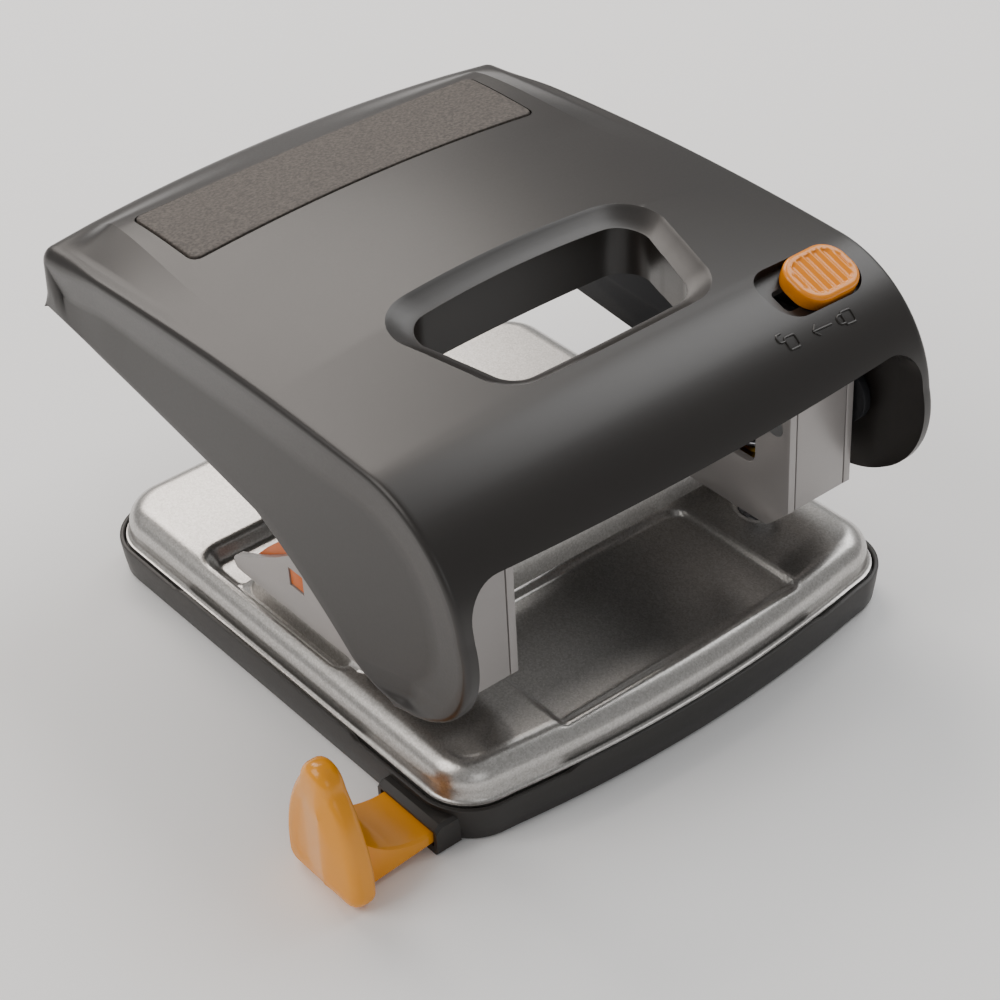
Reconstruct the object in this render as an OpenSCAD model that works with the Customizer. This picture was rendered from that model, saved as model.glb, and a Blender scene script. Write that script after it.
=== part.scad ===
// Two-hole desk punch: pressed steel base on a plastic chip tray, two folded
// steel punch brackets, a hinged handle with steel levers, a sliding handle
// lock and a sliding paper guide.
// X runs across the punch, the paper enters along +Y, Z is up.
// The origin is the middle of the tray's underside.

/* [Holes and paper] */
// Distance between the two punched holes
hole_pitch = 80; // [64:1:100]
// Distance from the paper's edge to a hole's centre
hole_margin = 12; // [10:0.5:15]
// Diameter of the punched hole
punch_d = 6; // [5:0.1:7.2]
// Height of the slot that the paper goes into
slot_h = 4.6; // [3.8:0.1:6]
// Where the paper stop stands, from the middle of the base
stop_y = -21; // [-24:0.5:-18]

/* [Base plate] */
// Depth of the base, front to rear
base_depth = 114.7; // [110:0.5:140]
// How far the front edge bows out in the middle
front_bow = 3.5; // [1:0.5:5]
// Corner radius at the front
front_corner_r = 11; // [9:0.5:14]
// Corner radius at the rear
rear_corner_r = 12; // [9:0.5:14]
// Height of the deck that the paper lies on
deck_z = 14.4; // [13.5:0.1:17]
// Thickness of the base's sheet steel
sheet_t = 1.2; // [0.9:0.1:1.5]
// Radius of the deck's pressed shoulder
shoulder_r = 4.5; // [3.5:0.5:5.5]
// Width from a bracket's outer cheek to the tray's side
deck_margin = 5.5; // [5:0.1:7]
// Depth of the paper recess between the brackets
recess_depth = 1; // [0.6:0.1:1.2]
// How far the troughs beside the brackets are sunk
trough_depth = 3; // [2:0.1:3.5]
// Where the troughs end, from the middle of the base
trough_rear_y = 27; // [24:0.5:30]

/* [Chip tray] */
// Height of the tray's rim
rim_z = 8.3; // [7.5:0.1:9]
// Thickness of the tray's floor
tray_floor = 1.6; // [1.2:0.1:2]
// Thickness of the tray's rim
rim_t = 1; // [0.8:0.1:1.3]
// Height of the ledge that the base plate stands on
ledge_z = 6.2; // [5.5:0.1:6.6]
// How far the tray pulls off downwards
tray_travel = 25; // [15:1:40]

/* [Brackets] */
// Outer width of a bracket
bracket_w = 16; // [14:0.5:19.5]
// Thickness of a bracket's sheet steel
bracket_t = 1.6; // [1.3:0.1:2]
// Height of a bracket's top
bracket_top_z = 55; // [52:0.5:56]
// Distance from a punch's axis to its bracket's front face
bracket_nose = 14.7; // [14:0.1:18]
// Distance from a punch's axis to its bracket's rear tip
bracket_tail = 48; // [40:1:54]

/* [Punches] */
// How far the punches travel
stroke = 5.8; // [5:0.1:6.5]
// Diameter of the cross pins
cross_pin_d = 4; // [3:0.1:4.8]
// Height of the cross pins at rest
cross_pin_z = 51; // [50:0.5:51.5]
// Wire of the return springs
spring_wire = 1; // [0.8:0.1:1.2]
// Mean diameter of the return springs
spring_d = 10; // [9.6:0.1:10.4]
// Turns of the return springs
spring_turns = 6; // [4:1:8]

/* [Handle] */
// Angle that the handle turns when it is pressed
handle_swing = 25; // [20:1:25]
// Distance from a punch's axis forward to the hinge pin
pivot_ahead = 10.8; // [10.5:0.1:13]
// Height of the hinge pins
pivot_z = 42; // [40:0.5:43]
// Diameter of the hinge pins
pivot_d = 4; // [3.2:0.1:4.8]
// Thickness of the handle's plastic shell
shell_t = 2.5; // [2:0.1:3]
// How much higher the shell is in the middle than at its sides
shell_crown = 4.4; // [2:0.1:5]
// Thickness of the lever arms' steel
lever_t = 1.6; // [1.2:0.1:2]
// Length of the grip pad
pad_w = 78.2; // [60:0.2:90]
// Depth of the grip pad
pad_d = 20; // [16:0.5:24]

/* [Lock] */
// How far the lock's button slides
lock_travel = 6; // [5:0.5:7.5]
// Width of the lock's button
button_w = 13.8; // [12:0.2:16]
// Depth of the lock's button
button_d = 11; // [10:0.2:14]

/* [Paper guide] */
// How far the paper guide pulls out
guide_travel = 60; // [40:1:70]
// Width of the guide's bar
guide_w = 14; // [11:0.5:16]
// Height of the guide's fin
fin_h = 27; // [20:0.5:34]
// Thickness of the guide's fin
fin_t = 6; // [4:0.5:8]

/* [Fits] */
// Gap between pieces that move past each other
clear = 0.3; // [0.2:0.05:0.4]
// Radial gap of a shaft that runs in a hole
run_fit = 0.05; // [0.02:0.01:0.08]

/* [Hidden] */

eps = 0.01;                 // overlap that makes cuts clean
smooth = 64;                // segments of a round part
soft = 32;                  // segments of a rounded outline's corner

// plan sizes
body_w = hole_pitch + bracket_w + 2 * deck_margin;
rear_y = base_depth / 2;
front_y = -base_depth / 2;
punch_x = hole_pitch / 2;
punch_y = stop_y - hole_margin;
pivot_y = punch_y - pivot_ahead;
nose_y = punch_y - bracket_nose;
tail_y = punch_y + bracket_tail;

// heights
slot_top_z = deck_z + slot_h;
trough_z = deck_z - trough_depth;
web_top_z = slot_top_z + bracket_t;
tab_bottom_z = slot_top_z + 5.35;
window_bottom_z = slot_top_z + 11.8;

// bracket widths
cheek_in = bracket_w / 2 - bracket_t;
window_w = 2 * (cross_pin_d / 2 + 3.9);

// base plate
flange_inset = rim_t + clear;
skirt_inset = flange_inset + 1;
seat_w = 2 * cheek_in - 1;
trough_in = seat_w / 2 + punch_x;
trough_out = body_w / 2 - skirt_inset - shoulder_r + 0.4;
recess_w = hole_pitch - bracket_w - 8;
stop_rib_w = 3.4;

// punch
punch_r = punch_d / 2;
bush_r = punch_r + 1.2;
bush_flange_r = cheek_in - 0.3;
bush_flange_t = 1.2;
bush_top_z = web_top_z + 9;
spring_foot_z = web_top_z + bush_flange_t;
collar_t = 3;
collar_z = cross_pin_z - cross_pin_d / 2 - collar_t;
die_r = punch_r + 1.6;
die_flange_r = punch_r + 3.2;
die_t = 4;

// levers: plates beside both cheeks, joined by a bridge over the bracket
arm_gap = 0.6;
arm_in_x = bracket_w / 2 + arm_gap;
arm_r = 6.2;
arm_bridge_z = bracket_top_z + 7;
arm_bridge_y = [punch_y + 12, punch_y + 50];
screw_ys = [punch_y + 20, punch_y + 44];
screw_r = 1.6;
pin_play = 0.6;             // room round a cross pin in its lever notch

// shell
shell_in_x = body_w / 2 - shell_t;
shell_bow = 1.7;            // how far the rear edge and the lip bow out in the middle
pad_y = [rear_y - 27.4, rear_y - 27.4 + pad_d];
pad_t = 1.4;
boss_r = 3.6;

// lock: it lies on the shell's slope, so it has a frame tilted about X
lock_tilt = 20;
lock_x = punch_x - 2 + lock_travel / 2;
lock_y = pivot_y - 1.2;
lock_room = [button_w + lock_travel + 1.2, button_d + 1.2];
pan_z = -2.6;               // floor of the button's recess
pan_t = 1.6;
button_top = 1;
stem = [5.8, 4.4];
tongue_w = 3;
tongue_x = lock_x + 1.2;
tongue_t = 1;
lock_screw_len = 4;
lock_screw_r = 1;

// paper guide
guide_y = pivot_y - 1.2;
guide_z = tray_floor + 0.4;
guide_t = 2.6;
guide_in_x = 24;
boss_x = body_w / 2 + 2.2;
fin_x = body_w / 2 + 16.5;

// helpers -----------------------------------------------------------------

// points of the arc through three points, without the last one
function arc3(p, q, r, n = 8) =
    let (a = q - p, b = r - p, d = 2 * (a[0] * b[1] - a[1] * b[0]),
         u = (b[1] * (a * a) - a[1] * (b * b)) / d, v = (a[0] * (b * b) - b[0] * (a * a)) / d,
         c = p + [u, v], rad = norm([u, v]), s = atan2(p[1] - c[1], p[0] - c[0]),
         m = (atan2(q[1] - c[1], q[0] - c[0]) - s + 720) % 360,
         e = (atan2(r[1] - c[1], r[0] - c[0]) - s + 720) % 360,
         sweep = m < e ? e : e - 360)
    [for (i = [0 : n - 1]) c + rad * [cos(s + sweep * i / n), sin(s + sweep * i / n)]];

// points of a circle's arc by centre, radius and angles, both ends in
function arc(c, r, a, b, n = 8) = [for (i = [0 : n]) c + r * [cos(a + (b - a) * i / n), sin(a + (b - a) * i / n)]];

// the base's outline, moved in by some distance, with the bowed front
function outline(in = 0) =
    let (w = body_w / 2 - in, yr = rear_y - in, yf = front_y + in,
         rr = max(rear_corner_r - in, 2), rf = max(front_corner_r - in, 2), n = 8)
    concat(arc([w - rr, yr - rr], rr, 0, 90, n), arc([-w + rr, yr - rr], rr, 90, 180, n),
        arc([-w + rf, yf + rf], rf, 180, 264, n),
        [for (i = [1 : 11]) let (t = i / 6 - 1, x = t * (w - rf)) [x, yf - front_bow * (1 - t * t)]],
        arc([w - rf, yf + rf], rf, 276, 360, n));

module outline_slab(in, z, h) {
    translate([0, 0, z]) linear_extrude(h) polygon(outline(in));
}

// an outline in the Y-Z plane, carried along X from x0 to x1
module across(x0, x1) {
    translate([x0, 0, 0]) rotate([90, 0, 90]) linear_extrude(x1 - x0) children();
}

// copies for the left and right punch
module at(side) {
    translate([side * punch_x, 0, 0]) children();
}

module pin_x(x0, x1, r) {
    translate([x0, 0, 0]) rotate([0, 90, 0]) cylinder(r = r, h = x1 - x0, $fn = smooth);
}

module block(lo, hi) {
    translate(lo) cube(hi - lo);
}

// rounded rectangle
module plate(w, d, r) {
    hull() for (x = [-1, 1], y = [-1, 1]) translate([x * (w / 2 - r), y * (d / 2 - r)]) circle(r = r, $fn = soft);
}

// chip tray ---------------------------------------------------------------

module chip_tray() {
    boss_w = guide_w + 2.4;
    channel = guide_w + 2 * clear;
    color([0.18, 0.17, 0.16]) difference() {
        union() {
            outline_slab(0.8, 0, 1);
            difference() {
                outline_slab(0, 1 - eps, rim_z - 1 + eps);
                outline_slab(rim_t, ledge_z, rim_z);
                outline_slab(rim_t + 1.6, tray_floor, rim_z);
            }
            // mouth of the paper guide's channel and the rib behind it
            block([-boss_x, guide_y - boss_w / 2, 0], [-body_w / 2 + rim_t + 2, guide_y + boss_w / 2, 6.4]);
            block([-body_w / 2 + 1, guide_y + channel / 2, 1], [guide_in_x + 8, guide_y + channel / 2 + 1.2, ledge_z - 0.6]);
        }
        block([-boss_x - 1, guide_y - channel / 2, guide_z - clear],
            [-body_w / 2 + front_corner_r, guide_y + channel / 2, guide_z + guide_t + clear]);
    }
}

// paper guide -------------------------------------------------------------

function fin_outline() =
    let (c = guide_y - 1, w = guide_w / 2 + 2.2, n = 6)
    concat([[c - w, 0.4], [c + w, 0.4]],
        arc3([c + w + 0.8, 3], [c + w - 1.4, fin_h * 0.5], [c + 3.6, fin_h - 2.4], n),
        arc([c, fin_h - 4], 4, 20, 160, n),
        arc3([c - 3.6, fin_h - 2.4], [c - w + 1.4, fin_h * 0.5], [c - w - 0.8, 3], n));

module paper_guide() {
    color([0.93, 0.66, 0.2]) union() {
        block([-boss_x - 1, guide_y - guide_w / 2, guide_z], [guide_in_x, guide_y + guide_w / 2, guide_z + guide_t]);
        across(-fin_x - fin_t, -fin_x) polygon(fin_outline());
        // swept foot between the bar and the fin
        translate([0, guide_y + guide_w / 2, 0]) rotate([90, 0, 0]) linear_extrude(guide_w)
            polygon(concat([[-boss_x - 0.4, guide_z + guide_t], [-boss_x - 0.4, guide_z]],
                [[-fin_x + 2, 0.5], [-fin_x - 1, 0.5]],
                arc3([-fin_x - 1, 14], [-fin_x + 5, 7.2], [-boss_x - 0.4, guide_z + guide_t], 6)));
    }
}

// base plate --------------------------------------------------------------

// the pressed shape, moved in by some distance all round
module pressing(in, z0, top) {
    r = shoulder_r - in;
    hull() {
        outline_slab(skirt_inset + in, z0, top - r - z0);
        for (a = [30, 60]) outline_slab(skirt_inset + in + r * (1 - cos(a)), top - r, r * sin(a));
        outline_slab(skirt_inset + in + r, top - r, r);
    }
}

module recess(grow) {
    r = 4;
    translate([0, 0, deck_z - recess_depth - grow]) linear_extrude(recess_depth + grow + eps)
        hull() {
            for (x = [-1, 1]) translate([x * (recess_w / 2 + grow - r), stop_y - 5 + grow - r]) circle(r = r, $fn = soft);
            translate([-recess_w / 2 - grow, front_y - 8]) square([recess_w + 2 * grow, 1]);
        }
}

module troughs(grow) {
    for (s = [-1, 1]) block([s * (trough_in + trough_out) / 2 - (trough_out - trough_in) / 2 - grow, stop_y + 4 - grow,
            trough_z - grow], [s * (trough_in + trough_out) / 2 + (trough_out - trough_in) / 2 + grow,
            trough_rear_y + grow, deck_z + 1]);
    block([-trough_out, tail_y + 1 - grow, trough_z - grow], [trough_out, trough_rear_y + grow, deck_z + 1]);
    block([-punch_x + seat_w / 2 + grow, stop_y + stop_rib_w + 1 - grow, trough_z - grow],
        [punch_x - seat_w / 2 - grow, trough_rear_y + grow, deck_z + 1]);
}

// raised seats under the brackets and the rib that stops the paper
module raised(in, z0) {
    for (s = [-1, 1]) block([s * punch_x - seat_w / 2 + in, stop_y + in, z0],
        [s * punch_x + seat_w / 2 - in, tail_y - 1 - in, slot_top_z - in]);
    block([-punch_x, stop_y + in, z0], [punch_x, stop_y + stop_rib_w - in, slot_top_z - in]);
}

module base_plate() {
    color([0.72, 0.71, 0.7]) difference() {
        union() {
            difference() {
                pressing(0, ledge_z + 0.2, deck_z);
                recess(0);
                troughs(0);
            }
            outline_slab(flange_inset, ledge_z + 0.2, sheet_t);
            raised(0, trough_z - sheet_t);
        }
        difference() {
            union() {
                pressing(sheet_t, ledge_z, deck_z - sheet_t);
                raised(sheet_t, trough_z - sheet_t - eps);
            }
            recess(sheet_t);
            difference() {
                troughs(sheet_t);
                raised(sheet_t, 0);
            }
        }
        for (s = [-1, 1]) at(s) {
            translate([0, punch_y, 0]) cylinder(r = die_r, h = deck_z + 1, $fn = smooth);
            for (y = rivet_ys) translate([0, y, 0]) cylinder(r = rivet_r, h = slot_top_z + 1, $fn = smooth);
        }
    }
}

// hardened die, pushed up through the deck from below
module die(side) {
    color([0.55, 0.56, 0.58]) at(side) translate([0, punch_y, 0]) difference() {
        union() {
            translate([0, 0, deck_z - sheet_t - eps]) cylinder(r = die_r, h = sheet_t + eps, $fn = smooth);
            translate([0, 0, deck_z - sheet_t - die_t]) cylinder(r = die_flange_r, h = die_t, $fn = smooth);
        }
        translate([0, 0, deck_z - 2]) cylinder(r = punch_r + run_fit, h = 3, $fn = smooth);
        translate([0, 0, 0]) cylinder(r = punch_r + 0.5, h = deck_z - 2 + eps, $fn = smooth);
    }
}

module die_left() {
    die(-1);
}

module die_right() {
    die(1);
}

// brackets ----------------------------------------------------------------

rivet_ys = [stop_y + 10, tail_y - 8];
rivet_r = 1.8;

// side outline of a cheek: cut front corner, round tail, hollow rear edge
function cheek_outline() =
    concat([[nose_y, tab_bottom_z], [nose_y + 5.5, slot_top_z]],
        arc([tail_y - 1.6, slot_top_z + 1.6], 1.6, -90, 30, 4),
        arc3([tail_y - 1, slot_top_z + 3.2], [punch_y + 28.4, slot_top_z + 13.7], [punch_y + 6, bracket_top_z], 10),
        [[punch_y + 6, bracket_top_z], [nose_y, bracket_top_z]]);

module bracket(side) {
    tab_w = 2 * (cheek_in - clear);
    open_x = tongue_x - lock_travel - punch_x;
    color([0.66, 0.63, 0.61]) at(side) difference() {
        union() {
            for (s = [-1, 1]) across(s * (bracket_w - bracket_t) / 2 - bracket_t / 2,
                s * (bracket_w - bracket_t) / 2 + bracket_t / 2) polygon(cheek_outline());
            // front tab, folded down from the top
            block([-tab_w / 2, nose_y, tab_bottom_z], [tab_w / 2, nose_y + bracket_t, bracket_top_z]);
            block([-cheek_in - eps, nose_y, bracket_top_z - bracket_t], [cheek_in + eps, nose_y + 5.6, bracket_top_z]);
            // floor web that the guide bush and the rivets hold
            block([-cheek_in - eps, nose_y + 6.5, slot_top_z], [cheek_in + eps, tail_y - 4, web_top_z]);
        }
        translate([0, pivot_y, pivot_z]) pin_x(-bracket_w, bracket_w, pivot_d / 2);
        translate([0, punch_y, 0]) cylinder(r = punch_r + 0.4, h = web_top_z + 1, $fn = smooth);
        for (y = rivet_ys) translate([0, y, 0]) cylinder(r = rivet_r, h = web_top_z + 1, $fn = smooth);
        // gap that the lock's tongue passes when the lock is open
        block([open_x - tongue_w / 2 - 0.6, nose_y + bracket_t + 1, bracket_top_z - bracket_t - 1],
            [open_x + tongue_w / 2 + 0.6, nose_y + 8, bracket_top_z + 1]);
        // windows that the cross pin travels in, and the insert's latch holes
        across(-bracket_w, bracket_w) translate([punch_y, (window_bottom_z + bracket_top_z - 1.5) / 2])
            plate(window_w, bracket_top_z - 1.5 - window_bottom_z, 2.5);
        block([-bracket_w, latch_y - 2.15, slot_top_z + 6.5], [bracket_w, latch_y + 2.15, slot_top_z + 10.5]);
    }
}

module bracket_left() {
    bracket(-1);
}

module bracket_right() {
    bracket(1);
}

module bracket_rivets() {
    color([0.6, 0.6, 0.6]) for (s = [-1, 1], y = rivet_ys) at(s) translate([0, y, 0]) union() {
        translate([0, 0, slot_top_z - sheet_t - 1]) cylinder(r = 3, h = 1, $fn = smooth);
        translate([0, 0, slot_top_z - sheet_t - eps]) cylinder(r = rivet_r, h = sheet_t + bracket_t + 2 * eps, $fn = smooth);
        translate([0, 0, web_top_z]) cylinder(r = 3, h = 1, $fn = smooth);
    }
}

// bush that guides the punch, standing on the bracket's floor web
module guide_bush(side) {
    color([0.75, 0.6, 0.32]) at(side) translate([0, punch_y, 0]) difference() {
        union() {
            translate([0, 0, web_top_z]) cylinder(r = bush_flange_r, h = bush_flange_t, $fn = smooth);
            translate([0, 0, web_top_z]) cylinder(r = bush_r, h = bush_top_z - web_top_z, $fn = smooth);
        }
        cylinder(r = punch_r + run_fit, h = bush_top_z + 1, $fn = smooth);
    }
}

module guide_bush_left() {
    guide_bush(-1);
}

module guide_bush_right() {
    guide_bush(1);
}

// plastic insert that fills the channel's tail and latches in both cheeks
latch_y = punch_y + 27.4;

module channel_insert(side) {
    w = cheek_in - 0.1;
    y0 = punch_y + bush_flange_r + 5.6;
    color([0.9, 0.55, 0.24]) at(side) difference() {
        union() {
            across(-w, w) polygon(concat([[y0, web_top_z], [tail_y - 4.5, web_top_z]],
                arc3([tail_y - 3.6, slot_top_z + 2.6], [punch_y + 38, slot_top_z + 9.4],
                    [punch_y + 24, slot_top_z + 19], 6), [[y0, slot_top_z + 22]]));
            block([-bracket_w / 2 + 0.3, latch_y - 2, slot_top_z + 6.7],
                [bracket_w / 2 - 0.3, latch_y + 2, slot_top_z + 10.3]);
        }
        for (y = rivet_ys) translate([0, y, 0]) cylinder(r = 3.2, h = web_top_z + 1.2, $fn = smooth);
    }
}

module channel_insert_left() {
    channel_insert(-1);
}

module channel_insert_right() {
    channel_insert(1);
}

// hinge pins ---------------------------------------------------------------

module pivot_pin(side) {
    head = arm_in_x + lever_t;
    // riveted flush with the cheek on the inside, with a flat head on the lever arm outside
    color([0.7, 0.7, 0.72]) at(side) translate([0, pivot_y, pivot_z]) mirror([side > 0 ? 0 : 1, 0, 0]) union() {
        pin_x(-bracket_w / 2, head + 0.1, pivot_d / 2);
        pin_x(head + 0.1 - eps, head + 0.5, pivot_d / 2 + 1.2);
    }
}

module pivot_pin_left() {
    pivot_pin(-1);
}

module pivot_pin_right() {
    pivot_pin(1);
}

// return springs ----------------------------------------------------------

// a coil swept as rings of points round a helix
module coil(r, wire_r, z0, z1, turns) {
    per_turn = 16;
    sides = 8;
    steps = turns * per_turn;
    rise = z1 - z0 - 2 * wire_r;
    pts = [for (i = [0 : steps], k = [0 : sides - 1])
        let (a = i * 360 / per_turn, b = k * 360 / sides, q = r + wire_r * cos(b))
        [q * cos(a), q * sin(a), z0 + wire_r + rise * i / steps + wire_r * sin(b)]];
    faces = concat([[for (k = [0 : sides - 1]) k]],
        [for (i = [0 : steps - 1], k = [0 : sides - 1])
            let (a = i * sides + k, b = i * sides + (k + 1) % sides) [a, a + sides, b + sides, b]],
        [[for (k = [sides - 1 : -1 : 0]) steps * sides + k]]);
    polyhedron(points = pts, faces = faces, convexity = 10);
}

module return_spring(side) {
    color([0.6, 0.61, 0.63]) at(side) translate([0, punch_y, 0])
        coil(spring_d / 2, spring_wire / 2, spring_foot_z + 0.02, collar_z - 0.02, spring_turns);
}

module return_spring_left() {
    return_spring(-1);
}

module return_spring_right() {
    return_spring(1);
}

// punches -----------------------------------------------------------------

module punch(side) {
    color([0.62, 0.62, 0.64]) at(side) difference() {
        translate([0, punch_y, slot_top_z - 0.1]) cylinder(r = punch_r, h = cross_pin_z + 3.4 - slot_top_z, $fn = smooth);
        translate([0, punch_y, cross_pin_z]) pin_x(-bracket_w, bracket_w, cross_pin_d / 2);
        // hollow V across the cutting end
        across(-bracket_w, bracket_w) polygon([[punch_y - punch_r, slot_top_z - 0.2],
            [punch_y, slot_top_z + 1.2], [punch_y + punch_r, slot_top_z - 0.2]]);
    }
}

module punch_left() {
    punch(-1);
}

module punch_right() {
    punch(1);
}

module cross_pin(side) {
    reach = arm_in_x + lever_t;
    color([0.68, 0.68, 0.7]) at(side) translate([0, punch_y, cross_pin_z]) pin_x(-reach, reach, cross_pin_d / 2);
}

module cross_pin_left() {
    cross_pin(-1);
}

module cross_pin_right() {
    cross_pin(1);
}

module spring_collar(side) {
    color([0.3, 0.3, 0.31]) at(side) translate([0, punch_y, collar_z]) difference() {
        cylinder(r = cheek_in - 0.4, h = collar_t, $fn = smooth);
        translate([0, 0, -1]) cylinder(r = punch_r, h = collar_t + 2, $fn = smooth);
    }
}

module spring_collar_left() {
    spring_collar(-1);
}

module spring_collar_right() {
    spring_collar(1);
}

// handle ------------------------------------------------------------------

// the shell's outline seen from the side, in arcs hung on the hinge and the rear edge
back = [rear_y, pivot_z];
hinge = [pivot_y, pivot_z];
lip = hinge + [-11.2, 21.5];
chin = hinge + [-17.4, 7.5];
function rear_line() = concat([back + [5.1, 14]], arc(back + [0.9, 24.2], 3.3, 8, 84, 3));
function roof_line() = arc3(back + [0.9, 27.5], hinge + [43.8, 30.4], hinge + [5.8, 29.5], 14);
function nose_line(n) = arc3(hinge + [5.8, 29.5], lip, chin, n);

// the rounded front and the hollow lower edge of a wing
function lower_line() =
    concat(arc3(chin, hinge + [-17, -4], hinge + [-9.2, -13.5], 6),
        arc3(hinge + [-9.2, -13.5], hinge + [2.8, -17.4], hinge + [14.8, -14.3], 5),
        arc3(hinge + [14.8, -14.3], hinge + [27.8, -4.4], hinge + [39.8, 2.6], 6),
        arc3(hinge + [39.8, 2.6], hinge + [64, 7.2], back + [5.1, 14], 6));

// the skin's own line stops at the lip over the paper slot
function skin_points() = concat(rear_line(), roof_line(), [for (p = nose_line(12)) if (p[1] > lip[1] - 4.2) p]);
function skin_line(gap) =
    let (t = skin_points(), n = len(t) - 1)
    [for (i = [0 : n]) let (a = t[max(i - 1, 0)], b = t[min(i + 1, n)], d = (b - a) / norm(b - a))
        t[i] + gap * [-d[1], d[0]]];

// height of the shell's top over a place on the base
function middle(x) = 1 - pow(x / (body_w / 2), 2);
function crown(x, y) = shell_crown * middle(x) * lookup(y,
    [[pivot_y + 4, 0.35], [pivot_y + 32, 1], [rear_y - 9, 1], [rear_y + 2, 0.55]]);
function top_z(y) = let (t = skin_points(), n = len(t) - 1) lookup(y, [for (i = [n : -1 : 4]) t[i]]);

module top_skin() {
    outer = skin_line(0);
    inner = skin_line(shell_t);
    ring = concat(outer, [for (i = [len(inner) - 1 : -1 : 0]) inner[i]]);
    n = len(ring);
    cols = 16;
    half = body_w / 2 - 0.6;
    pts = [for (i = [0 : cols], p = ring)
        let (x = half * (2 * i / cols - 1)) [x, p[0] * (1 + shell_bow * middle(x) / rear_y), p[1] + crown(x, p[0])]];
    faces = concat([[for (j = [0 : n - 1]) j]], [[for (j = [n - 1 : -1 : 0]) cols * n + j]],
        [for (i = [0 : cols - 1], j = [0 : n - 1])
            let (a = i * n + j, b = i * n + (j + 1) % n) [a, a + n, b + n, b]]);
    polyhedron(points = pts, faces = faces, convexity = 10);
}

module wings() {
    for (s = [-1, 1]) across(s * (body_w - shell_t) / 2 - shell_t / 2, s * (body_w - shell_t) / 2 + shell_t / 2)
        polygon(concat(rear_line(), roof_line(), nose_line(8), lower_line()));
}

// a patch that follows the crown between two heights over it
module crown_patch(w, y0, y1, lo, hi) {
    cols = 12;
    rows = 6;
    n = rows + 1;
    function pt(i, j, d) = let (x = -w / 2 + w * i / cols, y = y0 + (y1 - y0) * j / rows) [x, y, top_z(y) + crown(x, y) + d];
    pts = concat([for (i = [0 : cols], j = [0 : rows]) pt(i, j, lo)], [for (i = [0 : cols], j = [0 : rows]) pt(i, j, hi)]);
    m = (cols + 1) * n;
    faces = concat(
        [for (i = [0 : cols - 1], j = [0 : rows - 1]) let (a = i * n + j) [a, a + n, a + n + 1, a + 1]],
        [for (i = [0 : cols - 1], j = [0 : rows - 1]) let (a = m + i * n + j) [a, a + 1, a + n + 1, a + n]],
        [for (j = [0 : rows - 1]) [j, j + 1, j + 1 + m, j + m]],
        [for (j = [0 : rows - 1]) let (a = cols * n + j) [a + 1, a, a + m, a + 1 + m]],
        [for (i = [0 : cols - 1]) let (a = i * n) [a + n, a, a + m, a + n + m]],
        [for (i = [0 : cols - 1]) let (a = i * n + rows) [a, a + n, a + n + m, a + m]]);
    polyhedron(points = pts, faces = faces, convexity = 4);
}

// plan of the finger window: a trapezoid with round corners
window_y = punch_y + 9.6;
module window_plan(grow) {
    hull() {
        for (s = [-1, 1]) translate([s * 16.8, window_y - 8.6]) circle(r = 3.4 + grow, $fn = soft);
        for (s = [-1, 1]) translate([s * 20.2, window_y + 8]) circle(r = 4.4 + grow, $fn = soft);
    }
}

module handle_shell() {
    color([0.24, 0.22, 0.21]) difference() {
        union() {
            top_skin();
            wings();
            // collar round the finger window
            translate([0, 0, pivot_z + 22]) linear_extrude(9.4) window_plan(1.6);
            // pan under the lock's recess
            on_slope() translate([-lock_travel / 2, 0, pan_z - pan_t]) linear_extrude(pan_t + 1)
                plate(lock_room[0] + 3, lock_room[1] + 3, lock_room[1] / 2);
            // drafted bosses that the lever screws bite into
            for (s = [-1, 1], y = screw_ys) at(s) hull() {
                translate([0, y, arm_bridge_z + lever_t]) cylinder(r = boss_r, h = 1, $fn = soft);
                translate([0, y, top_z(y) + crown(punch_x, y) - shell_t / 2 - 1]) cylinder(r = boss_r + 0.5, h = 1, $fn = soft);
            }
        }
        translate([0, 0, pivot_z]) linear_extrude(50) window_plan(0);
        for (s = [-1, 1], y = screw_ys) at(s) translate([0, y, arm_bridge_z])
            cylinder(r = screw_r, h = 6, $fn = smooth);
        crown_patch(pad_w + 0.8, pad_y[0] - 0.4, pad_y[1] + 0.4, -pad_t + 0.3, 5);
        // the lock's recess and the slot for its stem
        on_slope() translate([-lock_travel / 2, 0, pan_z]) linear_extrude(12)
            plate(lock_room[0], lock_room[1], lock_room[1] / 2 - 1);
        on_slope() translate([-lock_travel / 2, 0, pan_z - 8]) linear_extrude(12)
            square([lock_travel + stem[0] + 2 * clear, stem[1] + 2 * clear], center = true);
    }
}

module grip_pad() {
    color([0.42, 0.4, 0.38]) crown_patch(pad_w, pad_y[0], pad_y[1], -pad_t + 0.32, 0.3);
}

// steel lever: two plates beside the bracket and a bridge under the shell
function in_lever(q, a) = let (d = q - hinge) hinge + [d[0] * cos(a) - d[1] * sin(a), d[0] * sin(a) + d[1] * cos(a)];

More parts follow.
